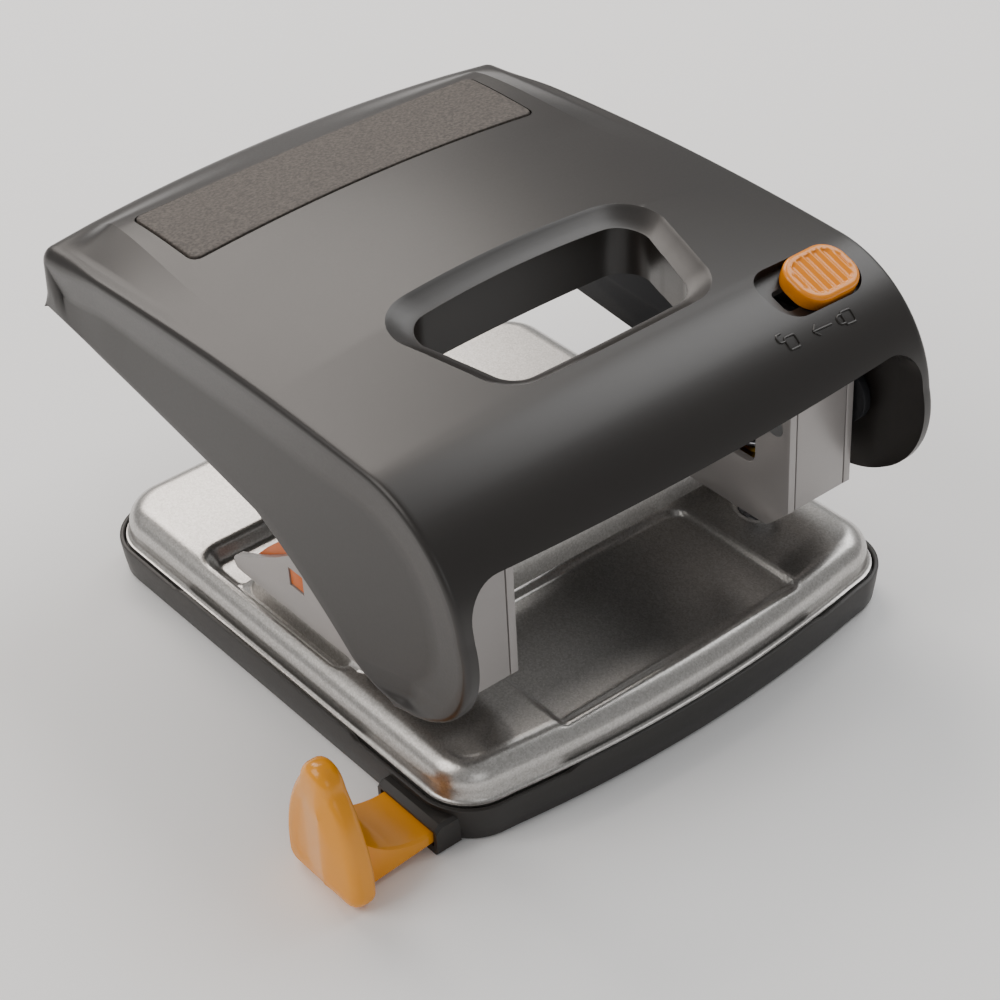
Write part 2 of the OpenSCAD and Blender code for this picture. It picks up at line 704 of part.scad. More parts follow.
module lever_arm(side) {
    rest = [punch_y, cross_pin_z];
    down = in_lever([punch_y, cross_pin_z - stroke], handle_swing);
    notch = cross_pin_d / 2 + pin_play;
    turn = atan2(down[1] - rest[1], down[0] - rest[0]) + 270;
    color([0.28, 0.28, 0.3]) at(side) difference() {
        union() {
            // the plate on the wing's side turns on the hinge pin, the other one starts behind it
            for (s = [-1, 1]) across(s * (arm_in_x + lever_t / 2) - lever_t / 2, s * (arm_in_x + lever_t / 2) + lever_t / 2)
                polygon(concat(s == side ? arc(hinge, arm_r, 100, 290, 10) : [hinge + [4.8, 13], hinge + [4.8, 4.5]],
                    s == side ? [hinge + [26, 2.6], hinge + [64, 11]] : [hinge + [24, 4], hinge + [66, 8.2]],
                    [[arm_bridge_y[1], arm_bridge_z - 6],
                     [arm_bridge_y[1], arm_bridge_z + lever_t], [arm_bridge_y[0] - 3, arm_bridge_z + lever_t]]));
            block([-arm_in_x - eps, arm_bridge_y[0], arm_bridge_z], [arm_in_x + eps, arm_bridge_y[1], arm_bridge_z + lever_t]);
        }
        translate([0, pivot_y, pivot_z]) pin_x(-2 * bracket_w, 2 * bracket_w, pivot_d / 2 + run_fit);
        for (y = screw_ys) translate([0, y, arm_bridge_z - 1]) cylinder(r = screw_r + 0.2, h = 6, $fn = smooth);
        // notch that carries the cross pin down
        across(-2 * bracket_w, 2 * bracket_w) polygon(concat(arc(rest, notch, 0, turn, 6),
            arc(down, notch, turn, 180, 4), [[down[0] - notch, pivot_z - 20], [rest[0] + notch, pivot_z - 20]]));
    }
}

module lever_arm_left() {
    lever_arm(-1);
}

module lever_arm_right() {
    lever_arm(1);
}

module lever_screws() {
    color([0.7, 0.7, 0.72]) for (s = [-1, 1], y = screw_ys) at(s) translate([0, y, arm_bridge_z]) union() {
        translate([0, 0, -1.8]) cylinder(r = 3, h = 1.8, $fn = smooth);
        translate([0, 0, -eps]) cylinder(r = screw_r, h = 5.6, $fn = smooth);
    }
}

// lock --------------------------------------------------------------------

module on_slope() {
    translate([lock_x, lock_y, top_z(lock_y) + crown(lock_x, lock_y)]) rotate([lock_tilt, 0, 0]) children();
}

module lock_slider() {
    color([0.95, 0.6, 0.2]) on_slope() difference() {
        union() {
            translate([0, 0, pan_z + clear]) linear_extrude(button_top - pan_z - clear)
                plate(button_w, button_d, button_d / 2 - 1);
            translate([0, 0, pan_z - pan_t - clear]) linear_extrude(pan_t + 2 * clear + eps) square(stem, center = true);
        }
        // finger grooves
        for (i = [-2.5 : 1 : 2.5]) translate([i * button_w / 7, 0, button_top]) rotate([90, 0, 0])
            cylinder(r = 0.5, h = button_d - 3, center = true, $fn = 16);
        // hole for the screw, a little deeper than its tip
        translate([0, 0, pan_z - pan_t - clear - tongue_t]) cylinder(r = lock_screw_r, h = lock_screw_len + 0.2, $fn = smooth);
    }
}

// sprung strip that hooks behind the right bracket's top when the handle is down
module lock_tongue() {
    z1 = pan_z - pan_t - clear;
    foot = [lock_y - 2.2, bracket_top_z + 0.9];
    color([0.6, 0.6, 0.62]) union() {
        on_slope() difference() {
            translate([-tongue_w / 2 - 1, -5, z1 - tongue_t]) cube([tongue_w + 3, 9, tongue_t]);
            translate([0, 0, z1 - 2]) cylinder(r = lock_screw_r, h = 3, $fn = smooth);
        }
        block([tongue_x - tongue_w / 2, foot[0] - tongue_t, foot[1]],
            [tongue_x + tongue_w / 2, foot[0], top_z(lock_y) + crown(lock_x, lock_y) + z1 - 1.2]);
    }
}

module lock_screw() {
    color([0.7, 0.7, 0.72]) on_slope() translate([0, 0, pan_z - pan_t - clear - tongue_t]) union() {
        translate([0, 0, -1.2]) cylinder(r = 2, h = 1.2, $fn = smooth);
        translate([0, 0, -eps]) cylinder(r = lock_screw_r, h = lock_screw_len, $fn = smooth);
    }
}

chip_tray();
paper_guide();
base_plate();
die_left();
die_right();
bracket_left();
bracket_right();
bracket_rivets();
guide_bush_left();
guide_bush_right();
channel_insert_left();
channel_insert_right();
pivot_pin_left();
pivot_pin_right();
return_spring_left();
return_spring_right();
punch_left();
punch_right();
cross_pin_left();
cross_pin_right();
spring_collar_left();
spring_collar_right();
handle_shell();
grip_pad();
lever_arm_left();
lever_arm_right();
lever_screws();
lock_slider();
lock_tongue();
lock_screw();
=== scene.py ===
# %% [markdown]
# # A two-hole desk punch
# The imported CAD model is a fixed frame: it says where everything is and how it
# moves. This file gives each visible piece its final surface and finish. Every
# size below is in millimetres and is turned to metres when a mesh is made.
# %% Load the frame
import math

import bmesh
import bpy
import numpy as np
from mathutils import Matrix, Vector


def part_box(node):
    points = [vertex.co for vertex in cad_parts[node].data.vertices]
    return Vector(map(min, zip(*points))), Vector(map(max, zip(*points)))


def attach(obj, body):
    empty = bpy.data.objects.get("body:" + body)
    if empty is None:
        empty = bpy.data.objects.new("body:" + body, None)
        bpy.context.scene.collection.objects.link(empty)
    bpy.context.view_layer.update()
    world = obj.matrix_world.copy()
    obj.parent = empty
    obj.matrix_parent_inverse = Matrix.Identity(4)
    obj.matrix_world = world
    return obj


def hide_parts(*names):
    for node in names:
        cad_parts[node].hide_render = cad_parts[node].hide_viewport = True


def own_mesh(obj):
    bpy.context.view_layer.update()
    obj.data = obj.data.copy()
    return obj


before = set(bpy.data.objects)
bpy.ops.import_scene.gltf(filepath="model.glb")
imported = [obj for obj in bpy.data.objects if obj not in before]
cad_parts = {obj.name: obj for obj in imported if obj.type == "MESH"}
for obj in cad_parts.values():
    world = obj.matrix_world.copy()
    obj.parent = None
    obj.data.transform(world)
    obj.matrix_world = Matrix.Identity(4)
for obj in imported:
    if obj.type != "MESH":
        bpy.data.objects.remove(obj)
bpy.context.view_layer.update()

# %% [markdown]
# The places that everything hangs on come from the frame's own boxes: the
# punches, the hinge pins, the deck and the widths of the body and the tray.
# %% Driving places


def box_mm(node):
    """Lowest and highest corner of a CAD node at rest, in millimetres."""
    lo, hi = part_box(node)
    return np.array(lo) * 1000, np.array(hi) * 1000


tray_lo, tray_hi = box_mm("chip_tray")
die_lo, die_hi = box_mm("die_right")
bracket_lo, bracket_hi = box_mm("bracket_right")
hinge_ahead, hinge_up = 10.8, 23
half_w = box_mm("handle_shell")[1][0]
rear_y = tray_hi[1]
punch_x, punch_y = (die_lo[0] + die_hi[0]) / 2, (die_lo[1] + die_hi[1]) / 2
deck_z = die_hi[2]
slot_top_z = bracket_lo[2]
hinge = np.array([punch_y - hinge_ahead, slot_top_z + hinge_up])
back = np.array([rear_y, hinge[1]])
print(f"half width {half_w:.1f}, punches ({punch_x:.1f}, {punch_y:.1f}), hinge {hinge}")

# %% [markdown]
# ## Small tools
# Curves first: most of this punch's outlines are chains of arcs, each one told
# by three points that lie on it, which is how a profile is read off a real
# moulding with a radius gauge.
# %% Curves


def arc3(p, q, r, n=16):
    """Points of the circle through p, q and r, from p to r, without the last.
    The centre is where the perpendicular bisectors of pq and pr cross."""
    p, q, r = (np.asarray(v, float) for v in (p, q, r))
    a, b = q - p, r - p
    d = 2 * (a[0] * b[1] - a[1] * b[0])
    c = p + np.array([b[1] * (a @ a) - a[1] * (b @ b), a[0] * (b @ b) - b[0] * (a @ a)]) / d
    angle = [math.atan2(v[1] - c[1], v[0] - c[0]) for v in (p, q, r)]
    mid = (angle[1] - angle[0]) % math.tau
    end = (angle[2] - angle[0]) % math.tau
    sweep = end if mid < end else end - math.tau
    t = angle[0] + sweep * np.arange(n) / n
    return c + np.linalg.norm(p - c) * np.stack([np.cos(t), np.sin(t)], 1)


def arc(c, r, a, b, n=12):
    """Points of a circle's arc from angle a to b, in degrees, both ends in."""
    t = np.radians(np.linspace(a, b, n + 1))
    return np.asarray(c, float) + r * np.stack([np.cos(t), np.sin(t)], 1)


def even(points, n, closed=False):
    """The same line with n points at equal steps along its length."""
    p = np.vstack([points, points[:1]]) if closed else np.asarray(points, float)
    s = np.concatenate([[0], np.cumsum(np.linalg.norm(np.diff(p, axis=0), axis=1))])
    t = np.linspace(0, s[-1], n + 1)[:-1] if closed else np.linspace(0, s[-1], n)
    return np.stack([np.interp(t, s, p[:, k]) for k in range(p.shape[1])], 1)


def unit(v):
    """The rows of v, each at length 1."""
    return v / np.linalg.norm(v, axis=1)[:, None]


def smooth(t):
    """0 below 0, 1 above 1, and an S-curve between."""
    t = np.clip(t, 0, 1)
    return t * t * (3 - 2 * t)


# %% [markdown]
# A surface is a grid of points. `grid_faces` says which four points make each
# face, and `make` puts points and faces into a mesh object, merges the seams,
# turns the faces outwards and keeps edges sharper than a given angle crisp.
# %% Meshes


def grid_faces(rows, cols, start=0, wrap=False):
    """Quads of a rows-by-cols grid of points; wrap joins the last column to the first."""
    i = np.arange(rows - 1)[:, None]
    j = np.arange(cols if wrap else cols - 1)[None, :]
    a, b = i * cols + j, i * cols + (j + 1) % cols
    return start + np.stack([a, b, b + cols, a + cols], -1).reshape(-1, 4)


def make(name, parts, sharp=30, merge=0.001):
    """Mesh object from a list of (points, faces) in millimetres."""
    points, faces, n = [], [], 0
    for p, f in parts:
        p = np.asarray(p, float).reshape(-1, 3)
        points.append(p)
        faces += [tuple(int(k) + n for k in q) for q in f]
        n += len(p)
    mesh = bpy.data.meshes.new(name)
    mesh.from_pydata((np.vstack(points) / 1000).tolist(), [], faces)
    obj = bpy.data.objects.new(name, mesh)
    bpy.context.collection.objects.link(obj)
    tidy(obj, sharp, merge)
    return obj


def tidy(obj, sharp=30, merge=0.001, turn=True):
    """Makes points closer than merge (in millimetres) one, drops faces with no area,
    turns faces outwards and marks edges sharper than an angle in degrees."""
    bm = bmesh.new()
    bm.from_mesh(obj.data)
    bmesh.ops.remove_doubles(bm, verts=bm.verts, dist=merge / 1000)
    bmesh.ops.dissolve_degenerate(bm, edges=bm.edges, dist=1e-8)
    if turn:
        bmesh.ops.recalc_face_normals(bm, faces=bm.faces)
    bm.to_mesh(obj.data)
    bm.free()
    obj.data.shade_smooth()
    obj.data.set_sharp_from_angle(angle=math.radians(sharp))


def apply(obj, kind, **settings):
    """Adds a modifier, bakes it into the mesh and takes it off again."""
    mod = obj.modifiers.new(kind, kind)
    for key, value in settings.items():
        setattr(mod, key, value)
    shape = obj.evaluated_get(bpy.context.evaluated_depsgraph_get())
    mesh = bpy.data.meshes.new_from_object(shape)
    obj.modifiers.clear()
    obj.data = mesh
    return obj


def carve(obj, tool, how="DIFFERENCE"):
    """Cuts a closed tool out of a closed object, or joins it on, and deletes the tool."""
    apply(obj, "BOOLEAN", operation=how, object=tool, solver="MANIFOLD")
    bpy.data.objects.remove(tool)
    return obj


def loft(rings):
    """A closed solid from a stack of closed rings of points, with both ends capped."""
    rings = np.asarray(rings, float)
    rows, cols = rings.shape[:2]
    caps = [range(cols)[::-1], range((rows - 1) * cols, rows * cols)]
    return rings.reshape(-1, 3), [*grid_faces(rows, cols, wrap=True), *caps]


def closed_loft(rings):
    """The same, but the last ring joins the first, as round a hoop."""
    rings = np.concatenate([rings, rings[:1]])
    return rings.reshape(-1, 3), grid_faces(*rings.shape[:2], wrap=True)


def tube(path, side, rise, r, n):
    """Rings of n points, r away from a path in the plane of two directions across it."""
    a = np.linspace(0, math.tau, n, endpoint=False)
    around = np.cos(a)[None, :, None] * side[:, None] + np.sin(a)[None, :, None] * rise[:, None]
    return path[:, None] + r * around


def block(lo, hi, soft):
    """A box with chamfered upright edges, as a loft of two eight-sided rings."""
    (x0, y0, z0), (x1, y1, z1) = lo, hi
    s = soft
    ring = [(x0 + s, y0), (x1 - s, y0), (x1, y0 + s), (x1, y1 - s),
            (x1 - s, y1), (x0 + s, y1), (x0, y1 - s), (x0, y0 + s)]
    return loft([[(x, y, z) for x, y in ring] for z in (z0, z1)])


# %% [markdown]
# A face with round corners has no natural grid, so it is blended from its four
# sides (a Coons patch): each point is the mix of the points opposite it on the
# sides, and the corners, which were counted twice, are taken off once.
# %% Grids inside an outline


def coons(ring, nu, nv):
    """Grid blended between the four sides of a closed ring of 2(nu+nv)-4 points."""
    c0, d1 = ring[:nu], ring[nu - 1:nu + nv - 1]
    c1 = ring[nu + nv - 2:2 * nu + nv - 2][::-1]
    d0 = np.vstack([ring[2 * nu + nv - 3:], ring[:1]])[::-1]
    u, v = np.linspace(0, 1, nu)[:, None, None], np.linspace(0, 1, nv)[None, :, None]
    edge = (1 - v) * c0[:, None] + v * c1[:, None] + (1 - u) * d0[None] + u * d1[None]
    corner = ((1 - u) * (1 - v) * c0[0] + u * (1 - v) * c0[-1]
              + (1 - u) * v * c1[0] + u * v * c1[-1])
    return edge - corner


def grid_rim(nu, nv):
    """Indices of a grid's outer points in the order that coons took them."""
    idx = np.arange(nu * nv).reshape(nu, nv)
    return np.concatenate([idx[:, 0], idx[-1, 1:], idx[-2::-1, -1], idx[0, -2:0:-1]])


# %% [markdown]
# ## Finishes
# Colours are written as sRGB hex, the way a colour card gives them, and turned
# to linear here. `add` puts one node in a material with its settings and links.
# %% Material tools


def lin(code):
    """Linear RGBA from an sRGB hex code."""
    v = np.array([int(code[k:k + 2], 16) for k in (0, 2, 4)]) / 255
    v = np.where(v <= 0.04045, v / 12.92, ((v + 0.055) / 1.055) ** 2.4)
    return (*v.tolist(), 1.0)


def add(tree, kind, links=(), **settings):
    """One node. Settings with a name of a socket set it, others set the node;
    links are (socket, node, output) and join an earlier node to this one."""
    node = tree.nodes.new(kind)
    for key, value in settings.items():
        name = key.replace("_", " ")
        if name in node.inputs:
            node.inputs[name].default_value = value
        else:
            setattr(node, key, value)
    for socket, source, output in links:
        tree.links.new(source.outputs[output], node.inputs[socket])
    return node


def blank(name):
    """A material, its node tree, and the object's own coordinates as its only node."""
    mat = bpy.data.materials.new(name)
    mat.use_nodes = True
    mat.node_tree.nodes.clear()
    return mat, mat.node_tree, add(mat.node_tree, "ShaderNodeTexCoord")


def finish(name, colour, rough, grain_mm, bump_mm, metal=0.0, tint=None, spread=0.06, **shader):
    """A moulded, painted or drawn finish: a base colour that drifts slightly, a grain
    of a real size in millimetres that moves the roughness and a bump as high as bump_mm."""
    mat, tree, coords = blank(name)
    drift = add(tree, "ShaderNodeTexNoise", [("Vector", coords, "Object")], Scale=45.0, Detail=2.0)
    grain = add(tree, "ShaderNodeTexNoise", [("Vector", coords, "Object")],
                Scale=1000 / grain_mm / 2, Detail=3.0, Roughness=0.6)
    hue = add(tree, "ShaderNodeMix", [(0, drift, "Fac")], data_type="RGBA")
    hue.inputs[6].default_value = lin(colour)
    hue.inputs[7].default_value = lin(tint or colour)
    gloss = add(tree, "ShaderNodeMapRange", [("Value", grain, "Fac")],
                To_Min=max(rough - spread, 0.03), To_Max=rough + spread)
    relief = add(tree, "ShaderNodeBump", [("Height", grain, "Fac")],
                 Strength=1.0, Distance=bump_mm / 1000)
    surface = add(tree, "ShaderNodeBsdfPrincipled",
                  [("Base Color", hue, 2), ("Roughness", gloss, "Result"),
                   ("Normal", relief, "Normal")], Metallic=metal, **shader)
    add(tree, "ShaderNodeOutputMaterial", [("Surface", surface, "BSDF")])
    return mat


# %% [markdown]
# The plastics. Injection-moulded ABS takes the texture of its steel mould: the
# shell has a fine spark-eroded satin, the orange pieces come from a polished
# mould, and the tray, which nobody touches, from a plainer one. The grip pad is
# a soft thermoplastic rubber with a coarse sand grain.
# %% Plastics

# moulded ABS, fine satin: soft wide highlights, warm black
shell_abs = finish("moulded_abs_satin_warm_black", "1e1a18", 0.37, 0.25, 0.003, tint="23201d",
                   Coat_Weight=0.08, Coat_Roughness=0.25)
# moulded ABS, plain mould: darker and a little duller
tray_abs = finish("moulded_abs_plain_black", "201d1b", 0.44, 0.35, 0.004, tint="262320")


def light_inside(weight, red_m):
    """Settings for light that spreads inside an orange plastic, red the furthest."""
    return {"Subsurface_Weight": weight, "Subsurface_Scale": 1.0,
            "Subsurface_Radius": (red_m, red_m / 2, 0.001)}


# moulded ABS, polished mould: saturated and glossy
guide_abs = finish("moulded_abs_polished_amber", "e69200", 0.24, 0.9, 0.001, tint="e89802",
                   spread=0.02, Coat_Weight=0.15, Coat_Roughness=0.12, **light_inside(0.03, 0.004))
button_abs = finish("moulded_abs_polished_orange", "e68600", 0.25, 0.9, 0.001, tint="e88c04",
                    spread=0.02, Coat_Weight=0.15, Coat_Roughness=0.15, **light_inside(0.03, 0.003))
# moulded acetal: waxy, slightly translucent
insert_pom = finish("moulded_acetal_orange", "d0660c", 0.36, 0.5, 0.002, tint="cc600a",
                    **light_inside(0.15, 0.003))

# %% [markdown]
# The pad's grain is big enough to see: cells about 0.6 mm wide give its bump, and a noise of the
# same size flecks its colour lighter and darker.
# %% Grip pad rubber


def sand_rubber():
    """Cells of a Voronoi pattern make rounded grains, with a noise that breaks them up."""
    grain_mm = 0.6
    mat, tree, coords = blank("grained_thermoplastic_rubber_taupe")
    cells = add(tree, "ShaderNodeTexVoronoi", [("Vector", coords, "Object")], Scale=1000 / grain_mm)
    fleck = add(tree, "ShaderNodeTexNoise", [("Vector", coords, "Object")],
                Scale=1000 / grain_mm, Detail=3.0)
    colour = add(tree, "ShaderNodeValToRGB", [("Fac", fleck, "Fac")])
    for stop, at, code in zip(colour.color_ramp.elements, (0.36, 0.66), ("3c3632", "57504a")):
        stop.position = at
        stop.color = lin(code)
    relief = add(tree, "ShaderNodeBump", [("Height", cells, "Distance")],
                 Strength=0.7, Distance=0.00012, invert=True)
    surface = add(tree, "ShaderNodeBsdfPrincipled",
                  [("Base Color", colour, "Color"), ("Normal", relief, "Normal")], Roughness=0.62)
    add(tree, "ShaderNodeOutputMaterial", [("Surface", surface, "BSDF")])
    return mat


pad_rubber = sand_rubber()

# %% [markdown]
# The metals. The base is sheet steel under a silver lacquer: aluminium flakes in
# a clear binder, so it is metallic, with single flakes that catch the light. The
# brackets have a light grey enamel, the pins and screws are zinc plated, the
# levers phosphated black, the bushes turned brass and the dies ground.
# %% Metals


def flake_lacquer():
    """Silver lacquer: flakes about 0.3 mm apart, coarser than real so that they show, each with its
    own brightness, under a thin clear coat. That brightness is painted into the colour: partly the
    flakes' own tone, mostly a painted glint of flakes that catch the light."""
    flake_mm, peel_mm = 0.3, 0.5
    mat, tree, coords = blank("silver_flake_lacquer_on_steel")
    flakes = add(tree, "ShaderNodeTexVoronoi", [("Vector", coords, "Object")],
                 Scale=1000 / flake_mm)
    # painted glint: each flake's brightness goes into the base colour, partly its own tone, mostly
    # standing in for the light that a tilted flake would catch
    flake_tone_and_glint = add(tree, "ShaderNodeMapRange", [("Value", flakes, "Color")], To_Min=0.0, To_Max=1.0)
    colour = add(tree, "ShaderNodeMix", [(0, flake_tone_and_glint, "Result")], data_type="RGBA")
    colour.inputs[6].default_value = lin("a9a6a2")
    colour.inputs[7].default_value = lin("c9c7c4")
    orange_peel = add(tree, "ShaderNodeTexNoise", [("Vector", coords, "Object")],
                      Scale=1000 / peel_mm, Detail=2.0)
    relief = add(tree, "ShaderNodeBump", [("Height", orange_peel, "Fac")],
                 Strength=0.6, Distance=0.00003)
    surface = add(tree, "ShaderNodeBsdfPrincipled",
                  [("Base Color", colour, 2), ("Normal", relief, "Normal")],
                  Metallic=0.9, Roughness=0.3, Coat_Weight=0.4, Coat_Roughness=0.14)
    add(tree, "ShaderNodeOutputMaterial", [("Surface", surface, "BSDF")])
    return mat


base_lacquer = flake_lacquer()
bracket_enamel = finish("light_grey_enamel_on_steel", "a39e9c", 0.38, 0.4, 0.004, metal=0.25,
                        tint="9b9795", Coat_Weight=0.2, Coat_Roughness=0.25)
zinc = finish("zinc_plated_steel", "b5b7ba", 0.32, 0.3, 0.003, metal=1.0, tint="a9abae", spread=0.1)
phosphate = finish("black_phosphated_steel", "26272a", 0.5, 0.3, 0.004, metal=0.6, tint="303134")
ground_steel = finish("ground_tool_steel", "9c9ea2", 0.25, 0.2, 0.002, metal=1.0, tint="8e9094")
brass = finish("turned_brass", "b8923f", 0.3, 0.25, 0.002, metal=1.0, tint="ae8836")
spring_wire = finish("drawn_spring_wire", "85878b", 0.3, 0.25, 0.002, metal=1.0, tint="7a7c80")
print("finishes:", len(bpy.data.materials))

# %% [markdown]
# A piece is settled by one call: which body it rides on, which CAD nodes it stands for and which
# finish it wears.
# %% Settling a piece


def settle(obj, body, slot, material, *nodes):
    """Gives a piece its finish, body and the CAD nodes that it stands for; slot is not used."""
    obj.data.materials.clear()
    obj.data.materials.append(material)
    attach(obj, body)
    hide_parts(*nodes)
    count = sum(len(p.vertices) - 2 for p in obj.data.polygons)
    print(f"{obj.name}: {count} triangles on {body}")
    return obj


# %% [markdown]
# ## Handle shell
# The biggest piece is one plastic moulding: a crowned roof that rolls down to a
# lip over the paper slot, two side wings, and a short skirt at the rear. Its
# outer skin is worked out as a grid. One parameter runs along the side outline,
# the other across the punch, and both the crown and the facets are heights
# added to it. The hollow, the window and the recesses are then cut out of that
# closed block, as a mould's cores leave them.
# %% Side outline of the shell


def side_lines(count):
    """Upper and lower line of a wing in the Y-Z plane, both from the rear corner to the
    wing's lowest point, with the same number of points. Places in front are offsets from
    the hinge, and places at the rear are offsets from the tray's rear at the hinge's height."""
    brow, lip, chin = hinge + [5.8, 29.5], hinge + [-11.2, 21.5], hinge + [-17.4, 7.5]
    toe, tip, heel = hinge + [-9.2, -13.5], hinge + [2.8, -17.4], hinge + [14.8, -14.3]
    waist, corner = hinge + [39.8, 2.6], back + [5.1, 14]
    rear = np.vstack([[corner], arc(back + [0.9, 24.2], 3.3, 8, 84, 8)])
    roof = arc3(back + [0.9, 27.5], hinge + [43.8, 30.4], brow, 60)
    nose = arc3(brow, lip, chin, 40)
    front = arc3(chin, hinge + [-17, -4], toe, 24)
    under = arc3(toe, hinge + [-3.9, -16.2], tip, 12)
    upper = np.vstack([rear, roof[1:], nose, front, under, [tip]])
    lower = np.vstack([arc3(tip, hinge + [9, -16.7], heel, 12),
                       arc3(heel, hinge + [27.8, -4.4], waist, 24),
                       arc3(waist, hinge + [64, 7.2], corner, 24), [corner]])[::-1]
    return even(upper, count), even(lower, count)


def normals_2d(line, side):
    """Unit normals of an open line; side 1 is to the left of its direction."""
    d = unit(np.gradient(line, axis=0))
    return side * np.stack([-d[:, 1], d[:, 0]], 1)


upper, lower = side_lines(260)
print(f"side outline: upper {len(upper)} points, lower {len(lower)} points")

# %% [markdown]
# The roof isn't flat across: it is crowned, its front and rear edges bow out,
# and beside the pad a flat facet drops to a narrow ledge. All of that is one
# height over the side outline, so everything that lies on the roof can use it.
# %% Crown and facets of the roof

crown_h, lift_h = 4.4, 3.4
bow = 1.7
ledge_x, ledge_h = half_w - 3, 0.15
facet_line = np.array([[-20, 45.4], [9, 45.3], [14.5, 45], [26, 44.4], [38, 43.5],
                       [51, 42.5], [70, 41.5]])
roof_line = upper[upper[:, 1] > hinge[1] + 12][::-1]


def facet_edge(y):
    """Distance from the middle at which the facet starts, at the outline's y."""
    return np.interp(y, facet_line[:, 0], facet_line[:, 1])


def middle(x):
    """1 in the middle of the punch, 0 at its sides, a parabola between."""
    return 1 - (x / half_w) ** 2


def bowed(x):
    """How many times its length a distance along Y gets at x, for the bowed edges."""
    return 1 + bow * middle(x) / rear_y


def height(x, y):
    """Height of the skin over the side outline. The crown fades towards the lip and the
    rear edge. Beside the pad the roof drops over a flat facet to a narrow ledge."""
    fade = np.interp(y, [hinge[0] + 4, hinge[0] + 32, rear_y - 9, rear_y + 2], [0.35, 1, 1, 0.55])
    crown = crown_h * middle(x) * fade
    lift = lift_h * smooth((y - 18) / 32) * (1 - smooth((y - 51) / 7))
    edge = facet_edge(y)
    ax = np.abs(x)
    inner = crown + lift * (1 - middle(x))
    at_edge = crown_h * middle(edge) * fade + lift * (1 - middle(edge))
    facet = at_edge + (ledge_h - at_edge) * (ax - edge) / (ledge_x - edge)
    ledge = ledge_h * (half_w - ax) / (half_w - ledge_x)
    shaped = np.where(ax < edge, inner, np.where(ax < ledge_x, facet, np.maximum(ledge, 0)))
    blend = smooth((y - 2) / 26)
    return crown * (1 - blend) + shaped * blend


def place(p, x):
    """Points of the Y-Z outline p carried to the distances x across the punch."""
    y, z = p[..., 0], p[..., 1]
    return np.stack([x, y * bowed(x), z + height(x, y)], -1)


def top_z(x, y):
    """Height of the finished skin over a place (x, y)."""
    x, y = np.asarray(x, float), np.asarray(y, float)
    y0 = y / bowed(x)
    return np.interp(y0, roof_line[:, 0], roof_line[:, 1]) + height(x, y0)


print(f"roof over the middle: {float(top_z(0, 0)):.1f} at y = 0")


# %% [markdown]
# The skin's columns follow the facet's edge, so that its crease is a line of
# the mesh and stays crisp. At the sides the skin rolls over a 1.1 mm radius
# into a darker band, about 8.5 mm wide and tilted slightly in, and then into
# the flat panel of the wing.
# %% Outer skin
roll_r, band_w = 1.1, 8.5


def skin_columns(y):
    """Distances across the punch for each place y along it, and how far each column is
    moved in. The roll's radius grows from 1.1 to 2.6 mm towards the rear corners."""
    edge = facet_edge(y)[:, None]
    roll = (roll_r + 1.5 * smooth((y - 40) / 15))[:, None]
    inner = np.linspace(0, 1, 31)[None, :] * edge
    facet = edge + np.linspace(0, 1, 8)[None, 1:] * (ledge_x - edge)
    flat = ledge_x + np.linspace(0, 1, 4)[None, 1:] * (half_w - roll - ledge_x)
    turn = np.radians(np.linspace(0, 90, 8)[1:])[None]
    right = np.hstack([inner, facet, flat, half_w - roll + roll * np.sin(turn)])
    inset = np.hstack([np.zeros((len(y), right.shape[1] - 7)), roll * (1 - np.cos(turn))])
    return np.hstack([-right[:, :0:-1], right]), np.hstack([inset[:, :0:-1], inset])


def outer_block():
    """The closed outer block: roof grid, underside grid and two side grids that meet it."""
    n_up, n_low = normals_2d(upper, 1), normals_2d(lower, -1)
    for k in (0, -1):
        both = n_up[k] + n_low[k]
        both /= np.linalg.norm(both)
        n_up[k] = n_low[k] = both
    x_up, inset = skin_columns(upper[:, 0])
    span = np.linalg.norm(lower - upper, axis=1)
    inset = inset * np.clip(span / 4.5, 0, 1)[:, None]
    roof = place(upper[:, None] + n_up[:, None] * inset[..., None], x_up)
    low_inset = inset * (roll_r / inset.max(axis=1, keepdims=True).clip(roll_r))
    under = place(lower[:, None] + n_low[:, None] * low_inset[..., None], x_up)
    parts = [(roof, grid_faces(*roof.shape[:2])), (under, grid_faces(*under.shape[:2]))]
    across = (lower - upper) / np.maximum(span, 1e-6)[:, None]
    lean = np.clip((across * n_up).sum(1), 0.5, 1)
    # the band's width is averaged over its neighbours, so that its edge has no kinks
    near = 8
    width = np.pad(band_w / lean, near, mode="edge")
    band = np.convolve(width, np.ones(2 * near + 1) / (2 * near + 1), mode="valid")
    band = np.minimum(band, 0.42 * span)
    dip = 1.3 * np.minimum(band, band_w) / band_w * smooth((span - 7) / 9)
    for side, col in ((-1, 0), (1, -1)):
        a, b = roof[:, col], under[:, col]
        inner = np.stack([side * (half_w - dip), a[:, 1] + across[:, 0] * band,
                          a[:, 2] + across[:, 1] * band], 1)
        t1 = np.linspace(0, 1, 6)[None, :, None]
        t2 = np.linspace(0, 1, 14)[None, 1:, None]
        grid = np.concatenate([a[:, None] + t1 * (inner - a)[:, None],
                               inner[:, None] + t2 * (b - inner)[:, None]], 1)
        parts.append((grid, grid_faces(*grid.shape[:2])))
    return make("handle_skin", parts, sharp=20, merge=0.01)


handle = outer_block()
print("outer block:", len(handle.data.polygons), "faces")

# %% [markdown]
# The hollow is a second surface 2.5 mm inside the first. Seen from the front
# its upper corners have a 7 mm radius, which makes the arch between the wings,
# and ahead of the lip it stays level, which cuts the lip's lower edge.
# %% Cutting the hollow
shell_t = 2.5
arch_r = 7.0
lip_z = hinge[1] + 16.7


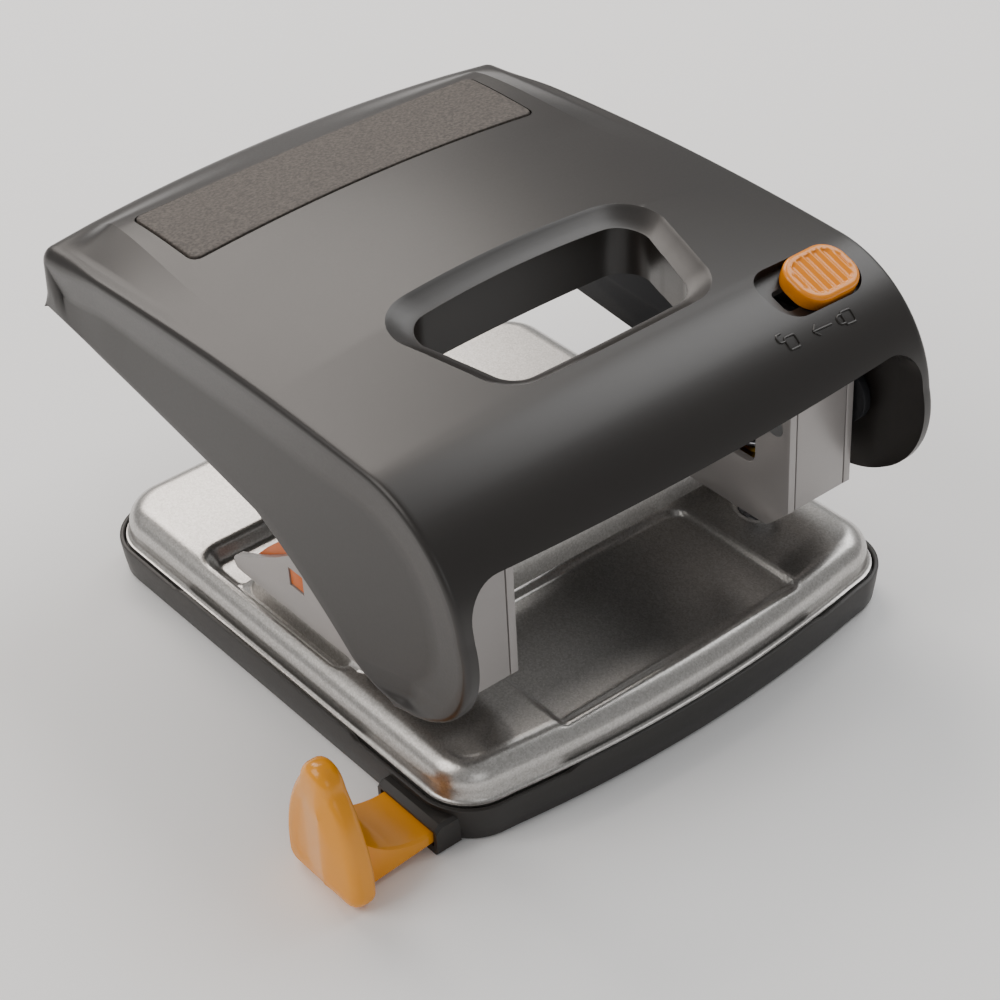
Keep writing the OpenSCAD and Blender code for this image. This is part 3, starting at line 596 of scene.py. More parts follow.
def hollow():
    """A closed block whose top is a height over (x, y): the skin less its thickness,
    no lower than the lip, with its sides turned down by the arch's radius."""
    inner_x = half_w - shell_t
    flat = np.linspace(-1, 1, 61)[1:-1] * (inner_x - arch_r)
    turn = np.radians(np.linspace(0, 90, 12))
    curve = inner_x - arch_r + arch_r * np.sin(turn)
    x = np.concatenate([-curve[::-1], flat, curve])
    past = np.clip(np.abs(x) - inner_x + arch_r, 0, None) / arch_r
    drop = arch_r * (1 - np.sqrt(np.clip(1 - past ** 2, 0, 1)))
    y = np.concatenate([np.linspace(-75, -62, 8), np.linspace(-61.5, 59.5, 150)])
    gx, gy = np.meshgrid(x, y)
    n = normals_2d(upper, 1)
    inside = (upper + n * shell_t)[upper[:, 1] > lip_z - 2]
    inside = inside[np.argsort(inside[:, 0])]
    y0 = gy / bowed(gx)
    roof = np.interp(y0, inside[:, 0], inside[:, 1]) + height(gx, y0)
    ahead = y0 < inside[0, 0] + 0.8
    top = np.where(ahead, lip_z, np.maximum(roof, lip_z)) - drop[None, :]
    grid = np.stack([gx, gy, top], -1)
    floor = grid.copy()
    floor[..., 2] = 5
    rows, cols = gx.shape
    n_all = rows * cols
    edge = np.concatenate([np.arange(cols), np.arange(1, rows) * cols + cols - 1,
                           (rows - 1) * cols + np.arange(cols - 2, -1, -1),
                           np.arange(rows - 2, 0, -1) * cols])
    ring = np.stack([edge, np.roll(edge, -1), np.roll(edge, -1) + n_all, edge + n_all], -1)
    points = np.vstack([grid.reshape(-1, 3), floor.reshape(-1, 3)])
    faces = [*grid_faces(rows, cols), *ring, edge + n_all]
    used = np.unique(np.concatenate([np.ravel(f) for f in faces]))
    renumber = {int(k): i for i, k in enumerate(used)}
    return points[used], [tuple(renumber[int(k)] for k in f) for f in faces]


carve(handle, make("hollow_tool", [hollow()]))
print("hollowed:", len(handle.data.polygons), "faces")

# %% [markdown]
# The finger window is a trapezoid with round corners and slightly bowed sides.
# A broad chamfer leads into it, so its cutter is a loft of the same outline at
# two sizes that follow the roof's height, and a wall hangs down round it.
# %% Finger window

window_y = punch_y + 9.6


def window_outline(front_w, rear_w, y0, y1, r):
    """Rounded trapezoid, four corner arcs joined by lines that bow out slightly."""
    slope = math.degrees(math.atan2(rear_w - front_w, y1 - y0))
    pts = np.vstack([arc([rear_w - r, y1 - r], r, -slope, 90, 10),
                     arc([-rear_w + r, y1 - r], r, 90, 180 + slope, 10),
                     arc([-front_w + r, y0 + r], r, 180 + slope, 270, 10),
                     arc([front_w - r, y0 + r], r, 270, 360 - slope, 10)])
    pts = even(pts, 160, closed=True)
    t = np.clip(pts[:, 0] / rear_w, -1, 1)
    pts[:, 1] += np.sign(pts[:, 1] - window_y) * 0.9 * (1 - t ** 2)
    return pts


inner_edge = window_outline(21.6, 25.4, window_y - 11.6, window_y + 11.6, 5.4)
outer_edge = window_outline(25.6, 29.6, window_y - 15.2, window_y + 15.6, 8.4)
middle_edge = (inner_edge + outer_edge) / 2


def over_roof(edge, lift):
    """Flat points (x, y) laid on the roof, lift above it."""
    return np.column_stack([edge, top_z(edge[:, 0], edge[:, 1]) + lift])


def flat_ring(edge, z):
    """Flat points (x, y) at one height."""
    return np.column_stack([edge, np.full(len(edge), z)])


def outwards(t):
    """The window's outline moved out, from the inner edge at 0 to the outer one at 1."""
    return inner_edge + (outer_edge - inner_edge) * t


chamfer_h = 2.4
cutter = [flat_ring(inner_edge, 50), over_roof(inner_edge, -chamfer_h - 0.5),
          over_roof(inner_edge, -chamfer_h), over_roof(outwards(0.12), -chamfer_h + 0.1),
          over_roof(middle_edge, -chamfer_h * 0.62), over_roof(outwards(0.88), -0.42),
          over_roof(outer_edge, -0.04), over_roof(outwards(1.25), 0.5),
          flat_ring(outwards(1.25), 84)]
carve(handle, make("window_tool", [loft(cutter)]))
print("window cut:", len(handle.data.polygons), "faces")

# %% [markdown]
# The grip pad lies in a shallow pocket. The pocket's cutter and the pad are the
# same slab with round corners, one a little bigger than the other, so that a
# thin dark line shows round the pad as on the real one.
# %% Grip pad's pocket
pad_lo, pad_hi = box_mm("grip_pad")


def slab(lo, hi, r, steps, nu=81, nv=23):
    """A closed slab with round corners that follows the roof. Each step is an inset and a
    height over the roof, from the underside's edge round to the top's edge."""
    n = 2 * (nu + nv) - 4

    def ring(inset):
        """The slab's outline moved in, its n points starting in a corner's middle."""
        (x0, y0), (x1, y1) = np.array(lo[:2]) + r, np.array(hi[:2]) - r
        q = r - inset
        spots = [([x0, y0], 225), ([x1, y0], 315), ([x1, y1], 45), ([x0, y1], 135)]
        sides = [np.vstack([arc(c, q, a, a + 45, 4), arc(d, q, b - 45, b, 4)])
                 for (c, a), (d, b) in zip(spots, spots[1:] + spots[:1])]
        return np.vstack([even(side, count)[:-1] for side, count in zip(sides, (nu, nv, nu, nv))])

    under, over = (over_roof(coons(ring(e), nu, nv).reshape(-1, 2), h)
                   for e, h in (steps[0], steps[-1]))
    edges = [over_roof(ring(e), h) for e, h in steps[1:-1]]
    rim = grid_rim(nu, nv)
    between = [2 * nu * nv + k * n + np.arange(n) for k in range(len(edges))]
    loops = [rim] + between + [nu * nv + rim]
    faces = [grid_faces(nu, nv), grid_faces(nu, nv, nu * nv)]
    faces += [np.stack([a, np.roll(a, -1), np.roll(b, -1), b], -1)
              for a, b in zip(loops, loops[1:])]
    return np.vstack([under, over, *edges]), np.vstack(faces)


carve(handle, make("pocket_tool", [slab(pad_lo - 0.4, pad_hi + 0.4, 2.0, [(0, -1.1), (0, 4)])]))

# %% [markdown]
# The lock's recess is an obround on the slope of the nose. It has its own frame,
# tilted about X, so that its floor, the button and the icons lie along the skin.
# %% Lock recess
lock_travel = 6.0
button_w, button_d = 13.8, 11.0
lock_x, lock_y = punch_x - 2 + lock_travel / 2, hinge[0] - 1.2
lock_z = float(np.interp(lock_y, *roof_line.T) + height(np.array(lock_x), np.array(lock_y)))
tilt = math.radians(20)
pan_z = -2.6


def on_slope(p):
    """Points of the lock's own frame carried to their place on the nose."""
    p = np.asarray(p, float)
    y = p[..., 1] * math.cos(tilt) - p[..., 2] * math.sin(tilt)
    z = p[..., 1] * math.sin(tilt) + p[..., 2] * math.cos(tilt)
    return np.stack([p[..., 0] + lock_x, y + lock_y, z + lock_z], -1)


def rounded(w, d, r, n=96):
    """Rounded rectangle about the origin."""
    a, b = w / 2 - r, d / 2 - r
    return even(np.vstack([arc([a, b], r, 0, 90, 12), arc([-a, b], r, 90, 180, 12),
                           arc([-a, -b], r, 180, 270, 12), arc([a, -b], r, 270, 360, 12)]), n, True)


def upright(outline, z0, z1):
    """A straight block over an outline, in the lock's own frame."""
    return loft([on_slope(flat_ring(outline, z)) for z in (z0, z1)])


# the button's room, moved towards the middle by half the travel
play, shift = 1.2, np.array([lock_travel / 2, 0])
room_w, room_d = button_w + lock_travel + play, button_d + play
recess = rounded(room_w, room_d, room_d / 2 - 1) - shift
carve(handle, make("recess_tool", [upright(recess, pan_z, 9)]))
pan = (recess + shift) * 1.12 - shift
cup = make("cup", [upright(pan, pan_z - 1.6, pan_z + 0.02)])
carve(cup, make("slot_tool", [upright(rounded(12.4, 5, 1) - shift, -7, 2)]))
print(f"lock at ({lock_x:.1f}, {lock_y:.1f}, {lock_z:.1f})")

# %% [markdown]
# Small raised marks beside the recess show which way locks it: an open padlock,
# an arrow and a closed padlock. Each is a thin round bead laid on the skin.
# %% Beads for the lock's marks


bead_r = 0.2


def bead(path, closed=False):
    """A tube along a flat path (x, y) that follows the roof."""
    p = over_roof(even(path, max(4, len(path) * 2), closed), 0.05)
    step = unit(np.roll(p, -1, 0) - np.roll(p, 1, 0) if closed else np.gradient(p, axis=0))
    side = unit(np.cross(step, [0, 0, 1.0]))
    rings = tube(p, side, np.cross(side, step), bead_r, 8)
    return closed_loft(rings) if closed else loft(rings)


def padlock(x, y, swing):
    """Body as a small rounded frame, shackle as a half ring on its left, moved aside by swing."""
    body = rounded(2.4, 1.9, 0.3, 24) + [x, y]
    shackle = np.vstack([[[x - 1.2, y + swing + 0.65]], arc([x - 1.9, y + swing], 0.65, 90, 270, 8),
                         [[x - 1.2, y + swing - 0.65]]])
    return [bead(body, closed=True), bead(shackle)]


mark_y = hinge[0] - 9.5
marks = padlock(lock_x - 15, mark_y, 1.1) + padlock(lock_x - 1.5, mark_y, 0)
for path in ([[-5.6, 0], [-8, 0], [-10, 0]], [[-8.9, 0.8], [-10, 0], [-8.9, -0.8]]):
    marks.append(bead(np.array([lock_x, mark_y]) + path))
print("beads of the marks:", len(marks))

# %% [markdown]
# Under the roof a thin wall hangs round the window and four bosses take the
# levers' screws. They and the marks are laid into the shell's mesh as closed
# solids of their own, which is enough where nothing is cut out of them.
# %% Window wall, bosses and the finished shell


def wall_round(edge, t, z0):
    """Wall of thickness t that hangs from the roof round the window down to z0."""
    out = edge - edge.mean(0)
    reach = np.linalg.norm(out, axis=1)[:, None]
    grow, inner = edge + t * out / reach, edge - 0.03 * out / reach
    return closed_loft(np.stack([over_roof(inner, -chamfer_h - 0.02), flat_ring(inner, z0),
                                 flat_ring(grow, z0), over_roof(grow, -chamfer_h - 0.3)]))


def boss(x, y, z0, r):
    """Round boss under the roof for a lever's screw, slightly drafted."""
    a = np.linspace(0, math.tau, 32, endpoint=False)
    circle = np.stack([np.cos(a), np.sin(a)], 1)
    top = float(top_z(x, y)) - 1.2
    return loft([flat_ring(circle * r + [x, y], z0), flat_ring(circle * (r + 0.5) + [x, y], top)])


arm_top = box_mm("lever_arm_right")[1][2]
screw_ys = (punch_y + 20, punch_y + 44)
bosses = [boss(s * punch_x, y, arm_top, 3.6) for s in (-1, 1) for y in screw_ys]
extras = make("shell_extras", [wall_round(inner_edge, 1.6, hinge[1] + 22), *bosses, *marks])
for other in (extras, cup):
    bm = bmesh.new()
    bm.from_mesh(handle.data)
    bm.from_mesh(other.data)
    bm.to_mesh(handle.data)
    bm.free()
    bpy.data.objects.remove(other)
tidy(handle, sharp=24, turn=False)


def crease_facets(mesh):
    """Marks as sharp the skin's edges that lie on the facet's line from the window back."""
    co = np.empty(len(mesh.vertices) * 3)
    mesh.vertices.foreach_get("co", co)
    x, y, z = co.reshape(-1, 3).T * 1000
    y0 = y / bowed(x)
    on_line = np.abs(np.abs(x) - facet_edge(y0)) < 0.03
    on_line &= (y0 > 12) & (np.abs(z - top_z(x, y)) < 0.1)
    pairs = np.array([e.vertices[:] for e in mesh.edges])
    for k in np.flatnonzero(on_line[pairs].all(1)):
        mesh.edges[int(k)].use_edge_sharp = True


crease_facets(handle.data)
settle(handle, "handle", "shell_plastic", shell_abs, "handle_shell")

# %% [markdown]
# ## Grip pad
# A slab of rubber let into the roof. It follows the roof's own height and stands
# a little proud of it, with a 0.3 mm radius round its upper edge.
# %% Grip pad
pad_edge = [(0, -1.08), (0, 0.02), (0.08, 0.2), (0.3, 0.3)]
pad = make("grip_pad_rubber", [slab(pad_lo, pad_hi, 1.6, pad_edge)], sharp=40)
settle(pad, "handle", "pad_rubber", pad_rubber, "grip_pad")

# %% [markdown]
# ## Lock button
# An obround button with six ribs to push against. Its rings shrink towards the
# middle of the top, and the height of the top is a row of rounded ribs.
# %% Lock button


def lock_button():
    """Rings of the rounded outline: skirt, a rolled edge, and a ribbed top."""
    top, roll, rib_h = 1.0, 0.8, 0.4
    outline = rounded(button_w, button_d, button_d / 2 - 1, 160)
    rings = [flat_ring(outline * 0.985, pan_z + 0.3), flat_ring(outline, pan_z + 0.8)]
    size = np.array([button_w / 2, button_d / 2])
    for a in np.radians(np.linspace(0, 90, 7)):
        rings.append(flat_ring(outline * (1 - roll * (1 - math.cos(a)) / size),
                               top - roll + roll * math.sin(a)))
    inner = outline * (1 - (roll + 0.5) / size)
    pitch = button_w / 7.2
    for t in np.concatenate([[1], np.linspace(0.97, 0.02, 26)]):
        p = inner * t
        wave = 0.5 - 0.5 * np.cos(math.tau * (p[:, 0] / pitch + 0.5))
        fall = smooth((1 - t) / 0.05)
        rings.append(np.column_stack([p, top - rib_h * fall * wave ** 0.7]))
    stem = rounded(5.8, 4.4, 0.4, 40)
    body = [loft([on_slope(r) for r in rings]), upright(stem, pan_z - 1.9, pan_z + 0.6)]
    return make("lock_button", body, sharp=50)


settle(lock_button(), "lock", "button_plastic", button_abs, "lock_slider")

# %% [markdown]
# ## Base plate
# One sheet of steel, pressed. Its plan is a rectangle with round corners and a
# bowed front. The deck is a Coons patch inside that plan, and rings round it go
# over the shoulder, down the skirt and out along the flange. The recess, the
# troughs and the raised seats are heights with soft edges, as a press leaves them.
# %% Plan outline


def plan(inset, n):
    """The base's outline moved in by inset, in n even steps from the middle of the right."""
    w, yr, yf = half_w - inset, rear_y - inset, -rear_y + inset
    rr, rf = max(12 - inset, 1.5), max(11 - inset, 1.5)
    x = np.linspace(-1, 1, 40)[1:-1] * (w - rf)
    front = np.stack([x, yf - 3.5 * (1 - (x / (w - rf)) ** 2)], 1)
    pts = np.vstack([[[w, 0]], arc([w - rr, yr - rr], rr, 0, 90, 20),
                     arc([-w + rr, yr - rr], rr, 90, 180, 20),
                     arc([-w + rf, yf + rf], rf, 180, 264, 20), front,
                     arc([w - rf, yf + rf], rf, 276, 360, 20)])
    return even(pts, n, True)


def press_step(d, r):
    """Share of a pressed step at signed distance d inside its edge, over a width r."""
    return smooth(d / r + 0.5)


def inside_box(x, y, lo, hi, r):
    """Signed distance inside a rectangle with corner radius r, positive inside."""
    cx, cy = (lo[0] + hi[0]) / 2, (lo[1] + hi[1]) / 2
    qx = np.abs(x - cx) - (hi[0] - lo[0]) / 2 + r
    qy = np.abs(y - cy) - (hi[1] - lo[1]) / 2 + r
    outside = np.hypot(np.maximum(qx, 0), np.maximum(qy, 0)) + np.minimum(np.maximum(qx, qy), 0) - r
    return -outside


# %% [markdown]
# The deck's height at a place is the flat sheet, less the paper recess and the
# troughs, or the raised seats and the paper stop where those are higher. Each
# step's wall is as wide as a press makes it.
# %% Deck heights
stop_y = punch_y + 12
tail_y = bracket_hi[1]
recess_half = punch_x - 12
seat_half = 5.9
trough_x, trough_rear = half_w - 6.4, 27


def deck(x, y, edge_z):
    """Height of the pressed sheet: the shoulder's height less the recess and troughs,
    or the top of the raised seats and the paper stop where those are higher."""
    z = edge_z.copy()
    recess_d = inside_box(x, y, (-recess_half, -80), (recess_half, stop_y - 1), 4)
    front_fade = 1 - press_step(-(y + rear_y - 3.5), 3)
    z -= 1.0 * press_step(recess_d, 0.9) * front_fade
    trough = np.maximum.reduce([
        inside_box(np.abs(x), y, (punch_x + seat_half, stop_y + 4), (trough_x, trough_rear), 3),
        inside_box(x, y, (-trough_x, tail_y + 1), (trough_x, trough_rear), 3),
        inside_box(x, y, (-punch_x + seat_half, stop_y + 4.4),
                   (punch_x - seat_half, trough_rear), 3)])
    z -= 3.0 * press_step(trough, 3.2)
    seat = np.maximum(
        inside_box(np.abs(x), y, (punch_x - seat_half, stop_y),
                   (punch_x + seat_half, tail_y - 1), 1),
        inside_box(x, y, (-punch_x, stop_y), (punch_x, stop_y + 3.4), 0.8))
    z = np.maximum(z, z + (slot_top_z - z) * press_step(seat - 0.5, 1.2))
    die_d = np.hypot(np.abs(x) - punch_x, y - punch_y)
    return z - 0.2 * (1 - smooth((die_d - 4.6) / 0.8))


print(f"paper stop at y {stop_y:.1f}, troughs to y {trough_rear}")

# %% [markdown]
# The patch and the rings round it share the outline's points, so the sheet is
# closed. Faces over the dies are left out, and Solidify gives the sheet its wall.
# %% Base plate mesh


def base_plate():
    """Deck patch, shoulder, skirt and flange as one sheet, then its thickness."""
    shoulder_r, skirt_in, flange_in, flange_z, bend_r = 4.5, 2.3, 1.3, 7.6, 0.9
    hole_r, wall_m = 3.8, 0.0011
    n = 684
    start = skirt_in + shoulder_r + 0.01
    # the ring starts at a rear corner, so that the patch's corners lie in the round ones
    first = plan(start, n)
    right, left = (np.argmin(np.hypot(first[:, 0] - s * (half_w - start),
                                      first[:, 1] - (rear_y - start))) for s in (1, -1))
    nu = int(left - right) + 1
    nv = n // 2 + 2 - nu

    def ring(inset):
        """The plan moved in, starting at the patch's first corner."""
        return np.roll(plan(inset, n), -right, axis=0)

    grid = coons(ring(start), nu, nv)
    # away from the rim the grid's lines are drawn straight, along the pressed steps
    x, y = grid[..., 0], grid[..., 1]
    calm = (1 - smooth((np.abs(x) - 43) / 5)) * (1 - smooth((np.abs(y) - 34) / 14))
    x, y = x + calm * (x[:, nv // 2][:, None] - x), y + calm * (y[nu // 2][None] - y)
    top = np.stack([x, y, deck(x, y, np.full(x.shape, deck_z))], -1)
    rings, edge_z = [], []
    for a in np.radians(np.linspace(0, 90, 12)[1:]):
        rings.append(ring(skirt_in + shoulder_r * (1 - math.sin(a))))
        edge_z.append(deck_z - shoulder_r + shoulder_r * math.cos(a))
    for a in np.radians(np.linspace(0, 90, 6)[1:]):
        rings.append(ring(skirt_in - bend_r * (1 - math.cos(a))))
        edge_z.append(flange_z + bend_r - bend_r * math.sin(a))
    rings.append(ring(flange_in + 0.1))
    edge_z.append(flange_z)
    rings = np.array(rings)
    heights = np.broadcast_to(np.array(edge_z)[:, None], rings.shape[:2])
    on_shoulder = (heights > deck_z - shoulder_r + 0.4)
    shaped = deck(rings[..., 0], rings[..., 1], heights)
    z = np.where(on_shoulder, np.maximum(shaped, deck_z - shoulder_r), heights)
    outer = np.concatenate([rings, z[..., None]], -1)
    faces = grid_faces(nu, nv)
    centre = top.reshape(-1, 3)[faces].mean(1)
    hole = np.hypot(np.abs(centre[:, 0]) - punch_x, centre[:, 1] - punch_y) < hole_r
    rim, joint = grid_rim(nu, nv), nu * nv + np.arange(n)
    seam = np.stack([rim, joint, np.roll(joint, -1), np.roll(rim, -1)], -1)
    faces = np.vstack([faces[~hole], seam,
                       grid_faces(len(rings), n, nu * nv, wrap=True)])
    points = np.vstack([top.reshape(-1, 3), outer.reshape(-1, 3)])
    obj = make("base_plate_pressing", [(points, faces)], sharp=60)
    if sum(p.normal.z * p.area for p in obj.data.polygons) < 0:
        obj.data.flip_normals()
    apply(obj, "SOLIDIFY", thickness=wall_m, offset=-1.0)
    obj.data.set_sharp_from_angle(angle=math.radians(50))
    return obj


settle(base_plate(), "base", "base_paint", base_lacquer, "base_plate")

# %% [markdown]
# ## Chip tray
# A black moulding that the base stands in. Its wall is one profile carried round
# the same plan: a slightly drafted outside, a rim that is higher where the snap
# hooks are, and a ledge inside. The mouth for the paper guide is joined on at
# the left, and the guide's channel is cut through.
# %% Chip tray
guide_lo, guide_hi = box_mm("paper_guide")
guide_y, guide_half = hinge[0] - 1.2, 7.0
bar_z, bar_t = 2.0, 2.6


def chip_tray():
    """The wall's rings, then the mouth joined on, the channel cut and its rib joined on."""
    n = 720
    x, y = plan(0, n).T
    hooks = np.maximum(press_step(28 - np.abs(y - 1), 3) * (np.abs(x) > half_w - 3),
                       press_step(30 - np.abs(x), 3) * (y < -rear_y))
    rim = tray_hi[2] - 0.7 + 0.7 * hooks

    def at(inset, z):
        """One ring of the wall: the plan moved in, at a height."""
        return np.column_stack([plan(inset, n), np.broadcast_to(z, n)])

    profile = [(20, 0), (1.7, 0), (1.1, 0.25), (0.8, 0.8), (0.35, 4), (0.05, rim - 0.5),
               (0.12, rim - 0.15), (0.4, rim), (0.75, rim), (0.98, rim - 0.2), (1, 6.4),
               (1.2, 6.2), (2.6, 6.2), (2.6, 1.6), (20, 1.6)]
    rings = np.stack([at(inset, z) for inset, z in profile])
    shell = make("chip_tray_moulding", [loft(rings)], sharp=35)
    # the mouth: a rounded block whose upper outer edge is chamfered
    x0, x1 = tray_lo[0], -half_w + 3
    wall, gap = 1.2, 0.3
    y0, y1 = guide_y - guide_half - wall, guide_y + guide_half + wall
    mouth_rings = [[(x, y0 + 0.5, 0), (x, y1 - 0.5, 0), (x, y1, 0.5), (x, y1, t - 0.6),
                    (x, y1 - 0.6, t), (x, y0 + 0.6, t), (x, y0, t - 0.6), (x, y0, 0.5)]
                   for x, t in ((x0, 5.4), (x0 + 1.1, 6.4), (x1, 6.4))]
    carve(shell, make("mouth", [loft(mouth_rings)]), "UNION")
    low, high = guide_y - guide_half - gap, guide_y + guide_half + gap
    channel = block((x0 - 2, low, bar_z - gap), (-half_w + 11, high, bar_z + bar_t + gap), 0.2)
    carve(shell, make("channel_tool", [channel]))
    rib = block((-half_w + 2, high, 1.5), (32, high + wall, 5.6), 0.3)
    carve(shell, make("rib", [rib]), "UNION")
    tidy(shell, sharp=35, turn=False)
    return shell


settle(chip_tray(), "tray", "tray_plastic", tray_abs, "chip_tray")

# %% [markdown]
# ## Paper guide
# A flat bar that slides in the tray, with an upturned fin to pull on. The fin is
# a stack of the same outline at slightly different sizes, which rounds its
# edges, with a soft ridge down the outer face. A foot sweeps up into it.
# %% Paper guide
fin_y = guide_y - 1


def fin_outline():
    """The fin seen along X: wide at the desk, hollow sides, a round top."""
    w, top = guide_half + 3.2, guide_hi[2]
    right = np.vstack([arc([w - 3.4, 3.6], 3.2, -90, -10, 8),
                       arc3([w - 0.2, 4.4], [w - 1.9, top * 0.55], [3.7, top - 3.2], 14),
                       arc([0, top - 4.1], 4.1, 14, 90, 10)])
    left = right[::-1] * [-1, 1]
    return even(np.vstack([right, left[1:]]), 120, True) + [fin_y, 0]


def fin():
    """Rings from the inner face to the outer one, whose edges roll over a 2.2 mm radius."""
    x0, x1, r = guide_lo[0], guide_lo[0] + 6.0, 2.2
    edge = fin_outline()
    centre = np.array([fin_y, guide_hi[2] * 0.42])
    step = unit(np.roll(edge, -1, 0) - np.roll(edge, 1, 0))
    inward = np.stack([-step[:, 1], step[:, 0]], 1)
    inward *= np.sign(((centre - edge) * inward).sum(1))[:, None]
    rings = []
    for a in np.radians(np.linspace(90, 0, 7)):
        p = edge + inward * r * 0.7 * (1 - math.cos(a))
        rings.append(np.column_stack([np.full(len(p), x1 - r * 0.7 + r * 0.7 * math.sin(a)), p]))
    for a in np.radians(np.linspace(0, 78, 8)):
        p = edge + inward * r * (1 - math.cos(a))
        rings.append(np.column_stack([np.full(len(p), x0 + 1.5 + r * (1 - math.sin(a)) - 0.4), p]))
    rim = edge + inward * r
    for t in (0.85, 0.7, 0.55, 0.4, 0.25, 0.1, 0.02):
        p = centre + (rim - centre) * t
        ridge = 1.5 * np.clip(1 - np.abs(p[:, 0] - fin_y + 3) / 6.6, 0, 1)
        ridge *= smooth((guide_hi[2] - p[:, 1]) / 9)
        rings.append(np.column_stack([x0 + 1.5 - ridge - 0.02 * (1 - t), p]))
    return loft(rings)


def foot():
    """Rounded bar section carried along a path that curves up into the fin."""
    join = tray_lo[0] + 0.5

    def line(z, knee, end):
        """From the bar's inner end, level to the join and then on an arc to the fin."""
        curve = np.vstack([arc3([join, z], knee, end, 14), [end]])
        return np.vstack([[[guide_hi[0], z]], even(curve, 16)])

    low = line(bar_z, [-64.5, 1.2], [-72, 0.6])
    high = line(bar_z + bar_t, [-65, 7.2], [-71.6, 15.5])
    rings = []
    for a, b in zip(low, high):
        half, e = guide_half, 0.5
        across = [(half - e, a[1]), (half, a[1] + e), (half, b[1] - e), (half - e, b[1]),
                  (-half + e, b[1]), (-half, b[1] - e), (-half, a[1] + e), (-half + e, a[1])]
        share = [0, 0.15, 0.85, 1, 1, 0.85, 0.15, 0]
        rings.append([(a[0] + (b[0] - a[0]) * s, guide_y + y, z)
                      for (y, z), s in zip(across, share)])
    return loft(rings)


guide = make("paper_guide_moulding", [fin()], sharp=55)
carve(guide, make("foot", [foot()]), "UNION")
tidy(guide, sharp=32, turn=False)
settle(guide, "guide", "guide_plastic", guide_abs, "paper_guide")

# %% [markdown]
# ## Brackets and inserts
# The CAD shapes are right, but their edges are razor sharp. A copy is merged,
# its flat faces are joined, and a small bevel gives each fold and each edge the
# radius that catches light on real sheet metal.
# %% Softened copies


def softened(node, width):
    """A copy of a CAD node's mesh with merged points and a bevel of width millimetres."""
    obj = bpy.data.objects.new(node + "_soft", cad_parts[node].data.copy())
    bpy.context.collection.objects.link(obj)
    bm = bmesh.new()
    bm.from_mesh(obj.data)
    bmesh.ops.remove_doubles(bm, verts=bm.verts, dist=2e-6)
    bmesh.ops.dissolve_limit(bm, angle_limit=math.radians(1), verts=bm.verts, edges=bm.edges)
    bm.to_mesh(obj.data)
    bm.free()
    apply(obj, "BEVEL", width=width / 1000, segments=3, limit_method="ANGLE",
          angle_limit=math.radians(40), use_clamp_overlap=True)
    obj.data.shade_smooth()
    obj.data.set_sharp_from_angle(angle=math.radians(35))
    return obj


copies = [("bracket", 0.35, "base", "bracket_steel", bracket_enamel),
          ("channel_insert", 0.3, "base", "insert_plastic", insert_pom),
          ("lever_arm", 0.25, "handle", "dark_steel", phosphate)]
for side in ("left", "right"):
    for piece, width, body, slot, material in copies:
        node = f"{piece}_{side}"
        settle(softened(node, width), body, slot, material, node)

# %% [markdown]
# ## Return springs
# Each is round wire on a helix, with the end turns wound closer. It stands between its foot on the
# bush and the collar, in its place at rest.
# %% Return springs


def spring(side, x):
    """A tube of 16 sides on a helix, whose rise eases in and out at the ends."""
    lo, hi = box_mm(f"return_spring_{side}")
    wire, coil_r, turns = 0.5, 5.0, 6
    t = np.linspace(0, 1, turns * 36)
    a = math.tau * turns * t
    rise = smooth(t) * 0.35 + t * 0.65
    path = np.stack([x + coil_r * np.cos(a), punch_y + coil_r * np.sin(a),
                     lo[2] + wire + (hi[2] - lo[2] - 2 * wire) * rise], 1)
    step = unit(np.gradient(path, axis=0))
    out = np.stack([np.cos(a), np.sin(a), np.zeros_like(a)], 1)
    rings = tube(path, out, np.cross(step, out), wire, 16)
    obj = make(f"return_spring_{side}_wire", [loft(rings)], sharp=60)
    settle(obj, "base", "spring_steel", spring_wire, f"return_spring_{side}")
    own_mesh(obj)


spring("left", -punch_x)
spring("right", punch_x)

# %% [markdown]
# ## Small hardware
# The pins, screws, rivets, bushes and dies keep their CAD shapes and get their
# real finishes.
# %% Finishes of the CAD nodes
pairs = {"die": ground_steel, "punch": ground_steel, "pivot_pin": zinc, "cross_pin": zinc,
         "guide_bush": brass, "spring_collar": phosphate}
hardware = {f"{piece}_{side}": m for piece, m in pairs.items() for side in ("left", "right")}
hardware |= dict.fromkeys(("bracket_rivets", "lever_screws", "lock_screw", "lock_tongue"), zinc)
for node, material in hardware.items():
    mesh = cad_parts[node].data
    if not mesh.materials:
        mesh.materials.append(material)
    for k in range(len(mesh.materials)):
        mesh.materials[k] = material
print("hardware nodes:", len(hardware))

# %% [markdown]
# ## Studio
# A pale sweep, a soft light behind, which the roof mirrors towards the camera,
# one on each side for the edges and the floor, and a gentle fill in front.
# %% Floor, light and camera


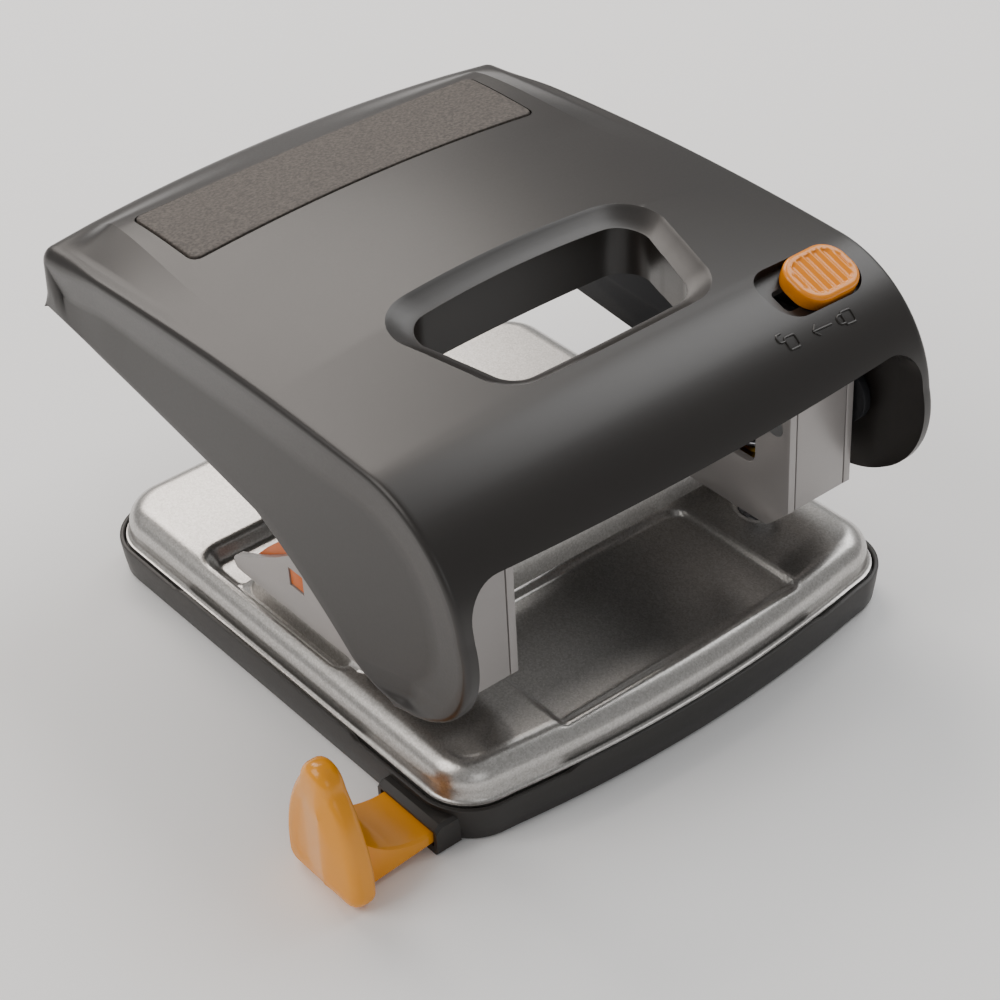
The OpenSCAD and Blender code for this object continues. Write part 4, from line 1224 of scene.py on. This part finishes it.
def floor():
    """A level floor that curves up far behind, so that it has no horizon."""
    rows, level, curve_r = 40, 0.6, 1.2
    s = np.linspace(0, 1, rows)
    turn = (s - level) / (1 - level) * math.pi / 2
    y = np.where(s < level, -3 + s / level * 6, 3 + curve_r * np.sin(turn))
    z = np.where(s < level, 0, curve_r * (1 - np.cos(turn)))
    x, y = np.meshgrid(np.linspace(-4, 4, 3), y)
    grid = np.stack([x, y, np.broadcast_to(z[:, None], x.shape)], -1) * 1000
    obj = make("floor", [(grid, grid_faces(rows, 3))], sharp=180)
    if obj.data.polygons[0].normal.z < 0:
        obj.data.flip_normals()
    obj.data.materials.append(finish("pale_paper", "fcfcfc", 0.9, 5, 0.0, tint="fafafa"))


floor()


def aim(az, el):
    """Direction to azimuth az, 0 being the front, and elevation el, both in radians."""
    return Vector((math.sin(az) * math.cos(el), -math.cos(az) * math.cos(el), math.sin(el)))


def softbox(name, azimuth, elevation, distance, size, power, colour="ffffff"):
    """Area light that looks at the punch from a direction in degrees."""
    direction = aim(math.radians(azimuth), math.radians(elevation))
    light = bpy.data.lights.new(name, "AREA")
    light.shape = "RECTANGLE"
    light.size, light.size_y = size
    light.energy = power
    light.color = lin(colour)[:3]
    obj = bpy.data.objects.new(name, light)
    obj.location = Vector((0, 0, 0.03)) + direction * distance
    obj.rotation_euler = direction.to_track_quat("Z", "Y").to_euler()
    bpy.context.collection.objects.link(obj)


softbox("rear_softbox", 165, 43, 1.3, (0.9, 0.7), 10, "fff7f0")
softbox("left_softbox", -112, 44, 1.4, (0.9, 0.9), 8.5, "fffaf5")
softbox("right_softbox", 95, 50, 1.4, (0.9, 0.9), 10)
softbox("front_fill", -20, 24, 1.8, (0.8, 0.8), 2)

world = bpy.data.worlds.new("studio")
bpy.context.scene.world = world
world.use_nodes = True
sky = world.node_tree.nodes["Background"].inputs
sky["Color"].default_value = lin("ffffff")
sky["Strength"].default_value = 0.36


def camera():
    """A long lens that looks down on the punch from its front left, turned slightly."""
    az, el, roll = (math.radians(v) for v in (-37.6, 36.79, -3.19))
    target, distance = Vector((0.00276, 0, 0.01646)), 0.4732
    away = aim(az, el)
    level = Vector((math.cos(az), math.sin(az), 0))
    rise = away.cross(level)
    right = level * math.cos(roll) + rise * math.sin(roll)
    up = rise * math.cos(roll) - level * math.sin(roll)
    data = bpy.data.cameras.new("camera")
    data.lens, data.sensor_width = 89.3, 36
    data.clip_start = 0.01
    obj = bpy.data.objects.new("camera", data)
    turn = Matrix((right, up, away)).transposed().to_4x4()
    obj.matrix_world = Matrix.Translation(target + away * distance) @ turn
    bpy.context.collection.objects.link(obj)
    bpy.context.scene.camera = obj


camera()
